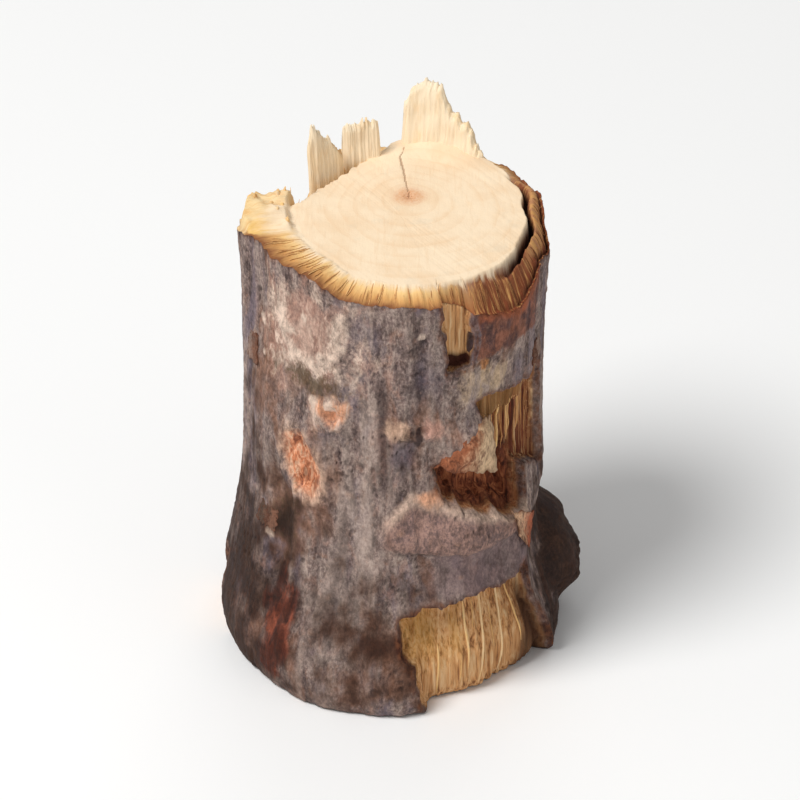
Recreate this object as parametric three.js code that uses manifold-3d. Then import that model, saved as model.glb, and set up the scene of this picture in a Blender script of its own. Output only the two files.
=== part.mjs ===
// A short length of mountain ash branch, sawn off at both ends. It stands on its lower cut.
// The saw stopped short of the far side at the upper cut, and the last wood broke off in splinters.
// Millimetres, +Z up, the origin in the middle of the lower cut. Angles go round the branch in degrees,
// from the front (-Y), where they are 0, through the right (+X) at 90 and the back at 180.
import * as THREE from "three";
import { mergeVertices } from "three/addons/utils/BufferGeometryUtils.js";
import Module from "manifold-3d";

// The branch
const barkHeight = 57;
const girth = [
  // height above the lower cut, radius over the bark
  [0, 21.7],
  [2, 22.5],
  [6, 22.5],
  [14, 20.2],
  [24, 18.7],
  [35, 18.3],
  [46, 18.5],
  [57, 18.9],
];
const lobes = [
  // times round the branch, swell, angle of the first crest
  [1, 0.6, -70],
  [2, 0.4, -20],
  [3, 0.25, 40],
];
const toe = { angle: -12, spread: 45, swell: 1.3, height: 12 };
const ridges = { count: 13, swell: 0.22, wander: 26, turn: 14 };

// The mesh: sides round the branch, rings up the bark, rings across the upper and the lower cut
const sides = 112;
const barkRings = 35;
const cutRings = 11;
const footRings = 2;

// The upper cut: a nearly level disc of wood inside a band of torn inner bark. The lists give the disc's
// radius and the height of the bark's edge over barkHeight, round the branch
const disc = { rise: 0.4, slope: 0.01 };
const discRadius = [[-90, 12.9], [-40, 13], [-18, 14.9], [5, 15.7], [35, 16.2], [90, 16], [150, 16.4], [190, 16.8]];
const edgeLevel = [[-120, -0.8], [-92, -1.2], [-70, 1.4], [-46, 1], [-15, 0.3], [14, -1.5], [44, -4.4], [80, -2.8], [112, -0.8]];
const pith = { x: 1.1, y: 4.3 };
const gap = { angle: 84, spread: 42, depth: 3, inset: 2.2, width: 0.6 };

// A rough block of wood that stands over the left rim
const rimBlock = { angle: 268, spread: 25, from: 13.1, level: 1.8 };

// The line where the saw stopped: beyond it, on the far left, the wood broke off lower down
const breakLine = { angle: 230, distance: 11.5, drop: 2.2, notchAngle: 231, notchSpread: 24, notchDrop: 4.6 };
const hingeRamp = { angle: 161, spread: 27, from: 12.6, to: 16.4, rise: 1.7 };

// Bark that has come away. Each spot's left and right sides are angles at its foot and at its top, and
// its lower and upper edges are heights at its left and at its right
const bareSpots = [
  { name: "chip at the foot", left: [14, -2], right: [69, 52], low: [-5, -5], high: [13, 14.8], depth: 2.7, edge: 1 },
  { name: "torn hollow", left: [16, 13], right: [56, 50], low: [28, 22.2], high: [32.6, 32.4], depth: 3.6, edge: 1 },
  { name: "peeled window", left: [40, 31], right: [76, 74], low: [31, 26], high: [40.6, 40], depth: 1.7, edge: 1 },
  { name: "strip at the rim", left: [19, 15], right: [26, 32], low: [46.5, 47], high: [62, 62], depth: 1.6, edge: 1 },
  { name: "tear at the break", left: [212, 206], right: [236, 246], low: [41, 42.5], high: [62, 62], depth: 1.8, edge: 3.2 },
  { name: "chip at the back", left: [252, 255], right: [284, 279], low: [-5, -5], high: [8, 11], depth: 1.6, edge: 1.6 },
];
const waver = 0.35;

// Swellings on the bark: angle, height, half width, half height, rise. A full one has a steep side
const swellings = [
  { name: "stub of a side shoot", angle: 97, height: 9, wide: 5.4, tall: 5.4, rise: 3.7, full: true },
  { name: "lip under the hollow", angle: 26, height: 23, wide: 9.5, tall: 3.2, rise: 1.3 },
  { name: "flap over the hollow", angle: 27, height: 35.6, wide: 3.2, tall: 2.6, rise: 0.9 },
  { name: "plate at the rim", angle: 46, height: 51, wide: 5, tall: 5, rise: 0.5 },
  { name: "slack right side", angle: 90, height: 10, wide: 11, tall: 9.5, rise: -2.2, full: true },
  { name: "slack left foot", angle: -74, height: 3, wide: 13, tall: 8, rise: -0.8 },
  { name: "knot at the back", angle: 158, height: 25, wide: 5.5, tall: 7, rise: 1.9 },
  { name: "flat at the left rim", angle: -56, height: 57, wide: 8, tall: 16, rise: -1.5 },
];

// Scars of leaves and buds: a raised rim round a sunken middle
const scars = [
  { angle: -38, height: 31.8, wide: 2.5, tall: 4.6, lean: -18 },
  { angle: -25, height: 40, wide: 1.4, tall: 1.5, lean: 0 },
  { angle: 6, height: 38.7, wide: 1.9, tall: 1.2, lean: 0 },
  { angle: -104, height: 41, wide: 2, tall: 3, lean: 12 },
  { angle: 122, height: 43, wide: 1.9, tall: 3, lean: -8 },
  { angle: 158, height: 25, wide: 2.6, tall: 3.8, lean: 6 },
  { angle: 204, height: 17, wide: 1.8, tall: 2.8, lean: 0 },
];
const scarRim = 0.5;

// Splinters left standing at the far rim: the outline of each runs across it from its left edge,
// as seen from the front, and gives heights over the disc
const splinters = [
  {
    name: "hinge",
    angle: 160.5,
    radius: 16.2,
    thick: 2.3,
    tilt: 4,
    outline: [[-5.2, 1.3], [-5, 6.5], [-4.1, 8], [-2.9, 9.5], [-1.5, 9], [-0.4, 8.8],
      [0.5, 6.3], [1.7, 5.1], [3.2, 4.4], [4.1, 2.3], [5.3, 1.2]],
  },
  {
    name: "block",
    angle: 199,
    radius: 14.4,
    thick: 1.7,
    tilt: 2,
    outline: [[-2.6, 0.9], [-2.5, 4.5], [-1.8, 5.3], [-0.7, 4.9], [0.6, 5.3], [2.1, 5.1], [2.4, 0.9]],
  },
  {
    name: "blade",
    angle: 221.5,
    radius: 13.4,
    thick: 1.4,
    tilt: 3,
    outline: [[-3, -0.1], [-2.9, 5.6], [-2.4, 7.7], [-1.9, 7.2], [-0.9, 6], [0, 5], [0.8, 4], [1.6, 2.9], [2.3, 1.9],
      [2.4, 0.2]],
  },
];
const root = 7;
const thinning = 0.6;

const radians = THREE.MathUtils.degToRad;
const smooth = THREE.MathUtils.smoothstep;
const clamp = THREE.MathUtils.clamp;
const lerp = THREE.MathUtils.lerp;

// The angle from b to a the short way round
function turnBetween(a, b) {
  return ((((a - b + 180) % 360) + 360) % 360) - 180;
}

// 1 at the middle of a hump and 0 beyond its half width
function hump(distance) {
  const d = clamp(distance, -1, 1);
  return (1 - d * d) ** 2;
}

// The radius over the bark at a height, from the girth's smooth curve
const girthCurve = new THREE.SplineCurve(girth.map(([z, r]) => new THREE.Vector2(z, r)));
const girthPoints = girthCurve.getPoints(120);
function girthAt(z) {
  const after = girthPoints.findIndex((p) => p.x >= z);
  if (after < 0) return girthPoints.at(-1).y;
  if (after === 0) return girthPoints[0].y;
  const [a, b] = [girthPoints[after - 1], girthPoints[after]];
  return a.y + ((b.y - a.y) * (z - a.x)) / (b.x - a.x);
}

// How far into a bare spot a point of the bark lies: 0 outside, 1 inside
function inSpot(spot, angle, z, radius) {
  const up = clamp((z - spot.low[0]) / (spot.high[0] - spot.low[0]), 0, 1);
  const left = lerp(spot.left[0], spot.left[1], up);
  const right = lerp(spot.right[0], spot.right[1], up);
  const half = (right - left) / 2;
  const off = turnBetween(angle, left + half);
  const across = clamp((off + half) / (2 * half), 0, 1);
  const low = lerp(spot.low[0], spot.low[1], across);
  const high = lerp(spot.high[0], spot.high[1], across);
  const sideways = (half - Math.abs(off)) * radians(1) * radius;
  const ragged = Math.sin(radians(angle * 9 + z * 20)) + 0.6 * Math.sin(radians(angle * 17 - z * 30));
  const inside = Math.min(sideways, z - low, high - z) + waver * ragged;
  return smooth(inside, -spot.edge / 2, spot.edge / 2);
}

function barkRadius(angle, z) {
  const round = girthAt(z);
  let radius = round;
  for (const [times, swell, crest] of lobes) radius += swell * Math.cos(radians(times * (angle - crest)));
  radius += toe.swell * hump(turnBetween(angle, toe.angle) / toe.spread) * hump(z / toe.height);
  const wander = ridges.wander * Math.sin((z / barkHeight) * Math.PI * 1.5);
  const bold = 0.75 + 0.5 * Math.sin(radians(angle * 2 + z * 4));
  radius += ridges.swell * bold * Math.cos(radians(ridges.count * angle + wander + ridges.turn));
  for (const s of swellings) {
    const across = (turnBetween(angle, s.angle) * radians(1) * round) / s.wide;
    const off = Math.hypot(across, (z - s.height) / s.tall) / 1.5;
    radius += s.rise * hump(s.full ? off * off : off);
  }
  for (const s of scars) {
    const x = turnBetween(angle, s.angle) * radians(1) * round;
    const y = z - s.height;
    const lean = radians(s.lean);
    const across = (x * Math.cos(lean) - y * Math.sin(lean)) / s.wide;
    const along = (x * Math.sin(lean) + y * Math.cos(lean)) / s.tall;
    const from = Math.hypot(across, along);
    radius += scarRim * (hump((from - 1.1) / 0.9) - hump(from / 0.9));
  }
  const bare = bareSpots.map((spot) => spot.depth * inSpot(spot, angle, z, round));
  return radius - Math.max(...bare);
}

// A value from a list of [angle, value] pairs, eased between them all the way round
function roundTheBranch(pairs, angle) {
  const behind = pairs.map(([at]) => (((angle - at) % 360) + 360) % 360);
  const i = behind.indexOf(Math.min(...behind));
  const [at, value] = pairs[i];
  const [nextAt, next] = pairs[(i + 1) % pairs.length];
  const span = (((nextAt - at) % 360) + 360) % 360;
  return lerp(value, next, smooth(behind[i], 0, span));
}

function atNotch(angle) {
  return hump(turnBetween(angle, breakLine.notchAngle) / breakLine.notchSpread);
}

// How far a point of the upper cut lies beyond the line where the saw stopped
function beyondBreak(angle, r) {
  return r * Math.cos(radians(angle - breakLine.angle)) - breakLine.distance;
}

// The height of the bark's ragged edge at the upper cut
function edgeHeight(angle) {
  const ragged = 0.35 * Math.sin(radians(angle * 7)) + 0.3 * Math.sin(radians(angle * 11 + 50));
  const lost = breakLine.notchDrop * atNotch(angle);
  return barkHeight + roundTheBranch(edgeLevel, angle) + ragged - lost;
}

// The height of the upper cut at a distance from the axis
function cutHeight(angle, r, edgeRadius) {
  const inset = edgeRadius - r;
  const x = r * Math.sin(radians(angle));
  const y = -r * Math.cos(radians(angle));
  const sawn = barkHeight + disc.rise + disc.slope * (y + edgeRadius);
  const bandWidth = edgeRadius - roundTheBranch(discRadius, angle);
  let height = lerp(edgeHeight(angle), sawn, smooth(inset, 0, bandWidth));
  const lost = breakLine.drop + breakLine.notchDrop * atNotch(angle);
  height -= lost * smooth(beyondBreak(angle, r), -0.3, 1.2) * smooth(inset, 0, 2.5);
  const block = smooth(r, rimBlock.from, rimBlock.from + 1) * smooth(inset, 0.1, 1.1);
  const reach = hump((turnBetween(angle, rimBlock.angle) / rimBlock.spread) ** 2);
  height = lerp(height, barkHeight + rimBlock.level, block * reach);
  const crack = hump((inset - gap.inset) / gap.width) * hump(turnBetween(angle, gap.angle) / gap.spread);
  height -= gap.depth * crack;
  const ramp = smooth(r, hingeRamp.from, hingeRamp.to) * smooth(inset, 0.4, 2.4);
  height += hingeRamp.rise * ramp * hump(turnBetween(angle, hingeRamp.angle) / hingeRamp.spread);
  const fromPith = Math.hypot(x - pith.x, y - pith.y);
  return height - 0.4 * hump(fromPith / 1.6);
}

// The branch itself: a lathed blank of radius 1 and height 1, whose every point is then moved to its place
function makeBranch() {
  const profile = [];
  for (let i = 0; i <= footRings; i++) profile.push(new THREE.Vector2(i / footRings, 0));
  for (let i = 1; i <= barkRings; i++) profile.push(new THREE.Vector2(1, i / barkRings));
  for (let i = 1; i <= cutRings; i++) profile.push(new THREE.Vector2(1 - rimShare(i), 1));
  const blank = new THREE.LatheGeometry(profile, sides).rotateX(Math.PI / 2);
  const place = blank.getAttribute("position");
  for (let i = 0; i < place.count; i++) {
    const share = Math.hypot(place.getX(i), place.getY(i));
    const angle = THREE.MathUtils.radToDeg(Math.atan2(place.getX(i), -place.getY(i)));
    const rise = place.getZ(i);
    const [radius, height] = placeOf(share, angle, rise);
    const around = radians(angle);
    place.setXYZ(i, radius * Math.sin(around), -radius * Math.cos(around), height);
  }
  return solidOf(blank);
}

// How far in from the rim the rings of the upper cut lie, as a share of the radius: close together at
// the bevel and the gap, and wider apart on the disc
function rimShare(i) {
  const close = [0.04, 0.075, 0.105, 0.14, 0.18, 0.25, 0.32];
  if (i <= close.length) return close[i - 1];
  const rest = cutRings - close.length;
  return close.at(-1) + ((1 - close.at(-1)) * (i - close.length)) / rest;
}

// Where a point of the blank goes: its distance from the axis and its height
function placeOf(share, angle, rise) {
  const onSide = share > 0.9999;
  if (rise < 1e-6) return [share * barkRadius(angle, 0), 0];
  if (onSide) {
    const height = rise * edgeHeight(angle);
    return [barkRadius(angle, height), height];
  }
  const edgeRadius = barkRadius(angle, edgeHeight(angle));
  const radius = share * edgeRadius;
  return [radius, cutHeight(angle, radius, edgeRadius)];
}

// A splinter: its outline, made thick, thinned towards its tip, bent round the branch like the growth
// rings, and stood at its place with its root in the wood
function makeSplinter({ angle, radius, thick, tilt, outline }) {
  const shape = new THREE.Shape([
    new THREE.Vector2(outline[0][0] * 0.9, -root),
    ...outline.map(([x, y]) => new THREE.Vector2(x, y)),
    new THREE.Vector2(outline.at(-1)[0] * 0.9, -root),
  ]);
  const blade = new THREE.ExtrudeGeometry(shape, { depth: thick, bevelEnabled: false });
  const tallest = Math.max(...outline.map(([, y]) => y));
  const place = blade.getAttribute("position");
  for (let i = 0; i < place.count; i++) {
    const [x, y] = [place.getX(i), place.getY(i)];
    const thinned = 1 - thinning * clamp(y / tallest, 0, 1);
    place.setZ(i, (place.getZ(i) - thick / 2) * thinned + (x * x) / (2 * radius));
  }
  blade.rotateX(Math.PI / 2 - radians(tilt));
  blade.rotateZ(radians(angle - 180));
  const around = radians(angle);
  const flat = barkHeight + disc.rise;
  blade.translate(radius * Math.sin(around), -radius * Math.cos(around), flat);
  return solidOf(blade);
}

const wasm = await Module();
wasm.setup();

// A three.js geometry as a solid, its shared vertices merged and its flat triangles dropped
function solidOf(geometry) {
  const bare = geometry.clone();
  bare.deleteAttribute("normal");
  bare.deleteAttribute("uv");
  const merged = mergeVertices(bare, 1e-4);
  const corners = Array.from(merged.index.array);
  const kept = [];
  for (let i = 0; i < corners.length; i += 3) {
    const [a, b, c] = corners.slice(i, i + 3);
    if (a !== b && b !== c && c !== a) kept.push(a, b, c);
  }
  const vertProperties = new Float32Array(merged.getAttribute("position").array);
  return new wasm.Manifold(new wasm.Mesh({ numProp: 3, vertProperties, triVerts: new Uint32Array(kept) }));
}

function geometryOf(solid) {
  const { vertProperties, triVerts } = solid.getMesh();
  const geometry = new THREE.BufferGeometry();
  geometry.setAttribute("position", new THREE.BufferAttribute(vertProperties, 3));
  geometry.setIndex(new THREE.BufferAttribute(triVerts, 1));
  geometry.computeVertexNormals();
  return geometry;
}

let piece = makeBranch();
for (const splinter of splinters) piece = piece.add(makeSplinter(splinter));

const greyBark = new THREE.MeshStandardMaterial({ color: 0x7b6c6a, roughness: 0.85, metalness: 0 });
const woodPiece = new THREE.Mesh(geometryOf(piece), greyBark);
woodPiece.name = "wood_piece";

const group = new THREE.Group();
group.add(woodPiece);

export default group;
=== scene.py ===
# A short length of mountain ash branch. It is sawn off at both ends and stands on its lower cut.
# Shapes are worked out in millimetres. Angles go round the branch in degrees, from the front (-Y)
# through the right (+X) at 90 and the back at 180.
import math
import bpy
import numpy as np
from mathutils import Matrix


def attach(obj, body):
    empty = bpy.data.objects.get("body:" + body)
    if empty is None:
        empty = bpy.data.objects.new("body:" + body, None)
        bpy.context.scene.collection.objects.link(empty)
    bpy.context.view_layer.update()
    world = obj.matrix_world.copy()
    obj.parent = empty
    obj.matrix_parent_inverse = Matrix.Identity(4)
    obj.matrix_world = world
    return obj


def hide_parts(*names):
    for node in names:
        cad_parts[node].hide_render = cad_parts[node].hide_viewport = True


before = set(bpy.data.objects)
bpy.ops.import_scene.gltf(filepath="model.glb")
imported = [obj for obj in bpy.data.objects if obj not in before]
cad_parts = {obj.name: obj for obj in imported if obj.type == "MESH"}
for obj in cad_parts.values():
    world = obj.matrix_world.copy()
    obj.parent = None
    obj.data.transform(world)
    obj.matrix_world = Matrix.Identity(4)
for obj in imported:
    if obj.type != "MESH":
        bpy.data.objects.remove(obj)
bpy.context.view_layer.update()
print("frame loaded")

mm = 0.001
columns = 620  # points round the branch, in the bark and in the upper cut


# Small sums that the shapes share
def smooth(x, low, high):
    t = np.clip((x - low) / (high - low), 0, 1)
    return t * t * (3 - 2 * t)


def hump(distance):
    d = np.clip(distance, -1, 1)
    return (1 - d * d) ** 2


def turnBetween(a, b):
    return (a - b + 180) % 360 - 180


# How near an angle is to the middle of a stretch of the rim: 1 there, 0 at its ends
def near(angle, stretch):
    return hump(turnBetween(angle, stretch["angle"]) / stretch["spread"])


def mixed(a, b, share):
    return a + (b - a) * share


def degSin(angle):
    return np.sin(np.radians(angle))


def degCos(angle):
    return np.cos(np.radians(angle))


# Noise over a lattice of random slopes, about -1 to 1. x comes round again after wrap cells
def noise(x, y, seed, wrap):
    slope = np.random.default_rng(seed).uniform(0, 2 * np.pi, (wrap, 256))
    x0, y0 = np.floor(x).astype(int), np.floor(y).astype(int)
    fx, fy = x - x0, y - y0

    def corner(i, j):
        at = slope[(x0 + i) % wrap, (y0 + j) % 256]
        return np.cos(at) * (fx - i) + np.sin(at) * (fy - j)

    u, v = (f * f * f * (f * (f * 6 - 15) + 10) for f in (fx, fy))
    return 1.6 * mixed(mixed(corner(0, 0), corner(1, 0), u), mixed(corner(0, 1), corner(1, 1), u), v)


# Several sizes of noise on the bark: cells round the branch, cells to the millimetre of height
def layers(angle, z, across, along, seed, octaves=3):
    total, weight = 0, 1
    for k in range(octaves):
        wrap = across * 2**k
        total = total + weight * noise(angle / 360 * wrap, z * along * 2**k, seed + k, wrap)
        weight *= 0.5
    return total


# The branch, as in the frame
branch = {
    "barkHeight": 57,
    "girth": [(0, 21.7), (2, 22.5), (6, 22.5), (14, 20.2), (24, 18.7), (35, 18.3), (46, 18.5), (57, 18.9)],
    "lobes": [(1, 0.6, -70), (2, 0.4, -20), (3, 0.25, 40)],
    "toe": {"angle": -12, "spread": 45, "swell": 1.3, "height": 12},
    "ridges": {"count": 13, "swell": 0.22, "wander": 26, "turn": 14},
}
cut = {
    "rise": 0.4,
    "slope": 0.01,
    "discRadius": [(-90, 12.9), (-40, 13), (-18, 14.9), (5, 15.7), (35, 16.2), (90, 16), (150, 16.4),
                   (190, 16.8)],
    "edgeLevel": [(-120, -0.8), (-92, -1.2), (-70, 1.4), (-46, 1), (-15, 0.3), (14, -1.5), (44, -4.4),
                  (80, -2.8), (112, -0.8)],
    "pith": (1.1, 4.3),
    "bandRadius": 18.5,
    "gap": {"angle": 84, "spread": 42, "depth": 3, "inset": 2.2, "width": 0.5},
    "outerRing": {"angle": 94, "spread": 46, "inset": 1.15, "width": 0.85, "rise": 0.6},
    "seam": {"angle": 80, "spread": 52, "inset": 0.4, "width": 0.26, "depth": 0.8},
    "rimBlock": {"angle": 268, "spread": 25, "from": 13.1, "level": 1.8},
    "break": {"angle": 230, "distance": 11.5, "drop": 2.2},
    "notch": {"angle": 231, "spread": 24, "drop": 4.6},
    "ramp": {"angle": 161, "spread": 27, "from": 12.6, "to": 16.4, "rise": 1.7},
}
bareSpots = {
    # left and right sides at the spot's foot and top, lower and upper edges at its left and right
    "footChip": {"left": (14, -2), "right": (69, 52), "low": (-5, -5), "high": (13, 14.8), "depth": 2.7},
    "hollow": {"left": (16, 13), "right": (56, 50), "low": (28, 22.2), "high": (32.6, 32.4), "depth": 3.6,
               "ragged": 0.55},
    "window": {"left": (40, 31), "right": (76, 74), "low": (31, 26), "high": (40.6, 40), "depth": 1.7},
    "rimStrip": {"left": (19, 15), "right": (26, 32), "low": (46.5, 47), "high": (62, 62), "depth": 1.6},
    "tear": {"left": (212, 206), "right": (236, 246), "low": (41, 42.5), "high": (62, 62), "depth": 1.8},
    "backChip": {"left": (252, 255), "right": (284, 279), "low": (-5, -5), "high": (8, 11), "depth": 1.6},
}
spotEdge = {"wide": 0.5, "waver": 0.35, "ragged": 0.4}
swellings = {
    # angle, height, half width, half height, rise, and whether it is full, with a steep side
    "stub": (97, 9, 5.4, 5.4, 3.7, True),
    "lip": (26, 23, 9.5, 3.2, 1.3, False),
    "flapRoot": (27, 35.6, 3.2, 2.6, 0.9, False),
    "rimPlate": (46, 51, 5, 5, 0.5, False),
    "slackSide": (90, 10, 11, 9.5, -2.2, True),
    "slackLeft": (-74, 3, 13, 8, -0.8, False),
    "knot": (158, 25, 5.5, 7, 1.9, False),
    "leftFlat": (-56, 57, 8, 16, -1.5, False),
}
scars = {
    # angle, height, half width, half height, lean
    "bigLens": (-38, 31.8, 2.8, 4.7, -18),
    "blotch": (-25, 40, 1.4, 1.5, 0),
    "budScar": (6.4, 38.6, 1.7, 1.1, 0),
    "leftLens": (-104, 41, 2, 3, 12),
    "rightLens": (122, 43, 1.9, 3, -8),
    "knotEye": (158, 25, 2.6, 3.8, 6),
    "backLens": (204, 17, 1.8, 2.8, 0),
}
longStreaks = [
    # angle, lowest, highest, half width, and how light (1) or dark (-1) it is
    (-13.6, 16, 42, 0.9, 1.0),
    (-5.5, 29, 46, 0.9, -1.0),
    (-17, 6, 25, 0.9, 0.7),
    (-25, 8, 26, 0.7, -0.8),
    (1, 31, 37, 1.2, -0.8),
    (-31, 12, 24, 0.6, -0.6),
    (9, 40, 54, 0.8, -0.6),
    (-9, 2, 16, 0.8, -0.5),
    (-22, 26, 38, 0.6, 0.5),
    (-52, 38, 54, 0.6, -0.6),
    (14, 36, 52, 0.6, 0.5),
    (150, 30, 54, 0.9, -0.8),
    (178, 10, 36, 0.9, 0.8),
    (214, 8, 34, 0.8, -0.8),
    (236, 16, 38, 0.9, 0.7),
    (262, 18, 46, 0.8, -0.8),
    (280, 20, 50, 0.8, 0.6),
    (112, 24, 50, 0.8, -0.7),
]
# Pale flecks: angle, height, size
flecks = [(-63, 48.3, 0.7), (-47, 49.4, 0.9), (-44, 45.9, 1.0), (-60, 44, 0.5), (-30, 48, 0.5),
          (-38, 52, 0.5), (-33, 41.3, 0.7), (-52, 20.4, 0.8), (-21, 50, 0.4), (8, 52, 0.4), (30, 9, 0.5),
          (170, 40, 0.5), (230, 30, 0.4), (262, 26, 0.5)]
# How far each of these stands out from the bark or sinks into it
barkRelief = {
    "wrinkle": 0.24,
    "fineWrinkle": 0.13,
    "skin": 0.06,
    "streak": 0.22,
    "fleck": 0.12,
    "crack": 0.22,
    "scarRim": 0.5,
    "scarGrain": 0.16,
    "lip": 0.45,
    "domeRim": 0.15,
}
# Scars that the bark has nearly grown over, and how much of their tint still shows
softScars = {"blotch": 0.15, "budScar": 0.0, "leftLens": 0.7, "rightLens": 0.6, "backLens": 0.6}
# Places where the bark has another tint: angle, height, half width in degrees, half height, strength
barkPatches = {
    "silver": [(-36, 49, 26, 9, 0.9)],
    "moss": [(-34, 43.5, 19, 2.8, 0.9), (-47, 23, 20, 8, 0.55)],
    "rust": [(-43, 8.5, 7, 7, 1.2)],
    # Painted shade on the foot and the two sides, not a tint of the bark
    "damp": [(-68, 8, 46, 26, 0.95), (-8, 9, 34, 8, 0.75), (90, 9, 32, 16, 1.7), (190, 4, 80, 14, 0.8)],
    "blue": [(2, 35, 6, 3, 0.9), (12, 46, 10, 5, 0.6)],
    "pale": [(33, 43.8, 13, 3.4, 1.0)],
    "orange": [(33, 46.4, 3, 1.0, 1.0)],
    "ledge": [(11, 28.9, 6, 1.2, 1.0)],
    "budTan": [(0.6, 38.9, 5.6, 1.5, 1.0)],
    "budPink": [(11.4, 38.7, 4.6, 1.6, 0.95)],
    # The dark middle of the bud scar, with painted shadow below it
    "budDark": [(6.8, 38, 1.6, 1.7, 1.4)],
    "blotch": [(-26, 40.3, 8, 2.6, 1.0)],
    "brown": [(-60, 42, 12, 12, 0.7), (-30, 29, 12, 8, 0.6), (-46, 23, 16, 7, 1.1), (-4, 8, 22, 7, 0.9)],
}
# The swollen lip under the hollow: its upper edge at some angles, and its foot
lipShape = {"angles": [-12, -4, 4, 16, 50, 62], "tops": [24.5, 26.5, 29.5, 28, 23.6, 20.5], "foot": 20.8}
# A smooth reddish plate under the rim at the right
plateShape = {"left": 29, "right": 72, "foot": 46.5}
# A rounded patch of smooth young bark with a pale line along its left side and foot
dome = {"angle": -37, "height": 51.4, "wide": 13, "tall": 4.8}


def smoothCurve(points, count):
    p = np.array(points, float)
    t = np.linspace(0, len(p) - 1, count)
    i = np.minimum(t.astype(int), len(p) - 2)
    w = (t - i)[:, None]
    before, here, after = p[np.maximum(i - 1, 0)], p[i], p[i + 1]
    later = p[np.minimum(i + 2, len(p) - 1)]
    v0, v1 = (after - before) / 2, (later - here) / 2
    cubic = (2 * here - 2 * after + v0 + v1) * w**3 + (3 * after - 3 * here - 2 * v0 - v1) * w**2
    return (cubic + v0 * w + here).T


girthHeights, girthRadii = smoothCurve(branch["girth"], 121)


# A value from a list of angles and values, eased between them all the way round
def roundTheBranch(pairs, angle):
    behind = np.stack([(angle - at) % 360 for at, _ in pairs])
    i = behind.argmin(0)
    at, value = np.array(pairs, float).T
    after = (i + 1) % len(pairs)
    span = (at[after] - at[i]) % 360
    return mixed(value[i], value[after], smooth(behind.min(0) / span, 0, 1))


def edgeHeight(angle):
    ragged = 0.35 * degSin(angle * 7) + 0.3 * degSin(angle * 11 + 50)
    fine = 0.35 * layers(angle, 0 * angle, 60, 1, 11, 3)
    lost = cut["notch"]["drop"] * near(angle, cut["notch"])
    return branch["barkHeight"] + roundTheBranch(cut["edgeLevel"], angle) + ragged + fine - lost


# How many millimetres a point of the bark lies inside a bare spot
def insideSpot(spot, angle, z, radius):
    up = np.clip((z - spot["low"][0]) / (spot["high"][0] - spot["low"][0]), 0, 1)
    left, right = mixed(*spot["left"], up), mixed(*spot["right"], up)
    half = (right - left) / 2
    off = turnBetween(angle, left + half)
    across = np.clip((off + half) / (2 * half), 0, 1)
    low, high = mixed(*spot["low"], across), mixed(*spot["high"], across)
    sideways = (half - np.abs(off)) * np.radians(radius)
    ragged = degSin(angle * 9 + z * 20) + 0.6 * degSin(angle * 17 - z * 30)
    inside = np.minimum(np.minimum(sideways, z - low), high - z) + spotEdge["waver"] * ragged
    return inside + spot.get("ragged", spotEdge["ragged"]) * layers(angle, z, 60, 0.4, 21, 3)


# Where a point lies in a scar: 0 in the middle, 1 at its rim
def fromScar(scar, angle, z, radius):
    at, height, wide, tall, lean = scar
    x, y = turnBetween(angle, at) * np.radians(radius), z - height
    across = (x * degCos(lean) - y * degSin(lean)) / wide
    along = (x * degSin(lean) + y * degCos(lean)) / tall
    return np.hypot(across, along)


# Where a point lies in an upright oval on the bark, measured in its half width and half height
def fromOval(angle, z, radius, at, height, wide, tall):
    return np.hypot(turnBetween(angle, at) * np.radians(radius) / wide, (z - height) / tall)


pores = {"count": 90, "seed": 5, "wide": (0.25, 0.6), "tall": (0.2, 0.4), "rise": 0.12}


# The branch without its bare places and fine wrinkles
def plainRadius(angle, z):
    lobes, toe, ridges = branch["lobes"], branch["toe"], branch["ridges"]
    girth = np.interp(z, girthHeights, girthRadii)
    radius = girth + 0 * angle
    for times, swell, crest in lobes:
        radius += swell * degCos(times * (angle - crest))
    radius += toe["swell"] * near(angle, toe) * hump(z / toe["height"])
    wander = ridges["wander"] * np.sin(z / branch["barkHeight"] * np.pi * 1.5)
    bold = 0.75 + 0.5 * degSin(angle * 2 + z * 4)
    radius += ridges["swell"] * bold * degCos(ridges["count"] * angle + wander + ridges["turn"])
    for at, height, wide, tall, rise, full in swellings.values():
        off = fromOval(angle, z, girth, at, height, wide, tall) / 1.5
        radius += rise * hump(off * off if full else off)
    return radius


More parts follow.
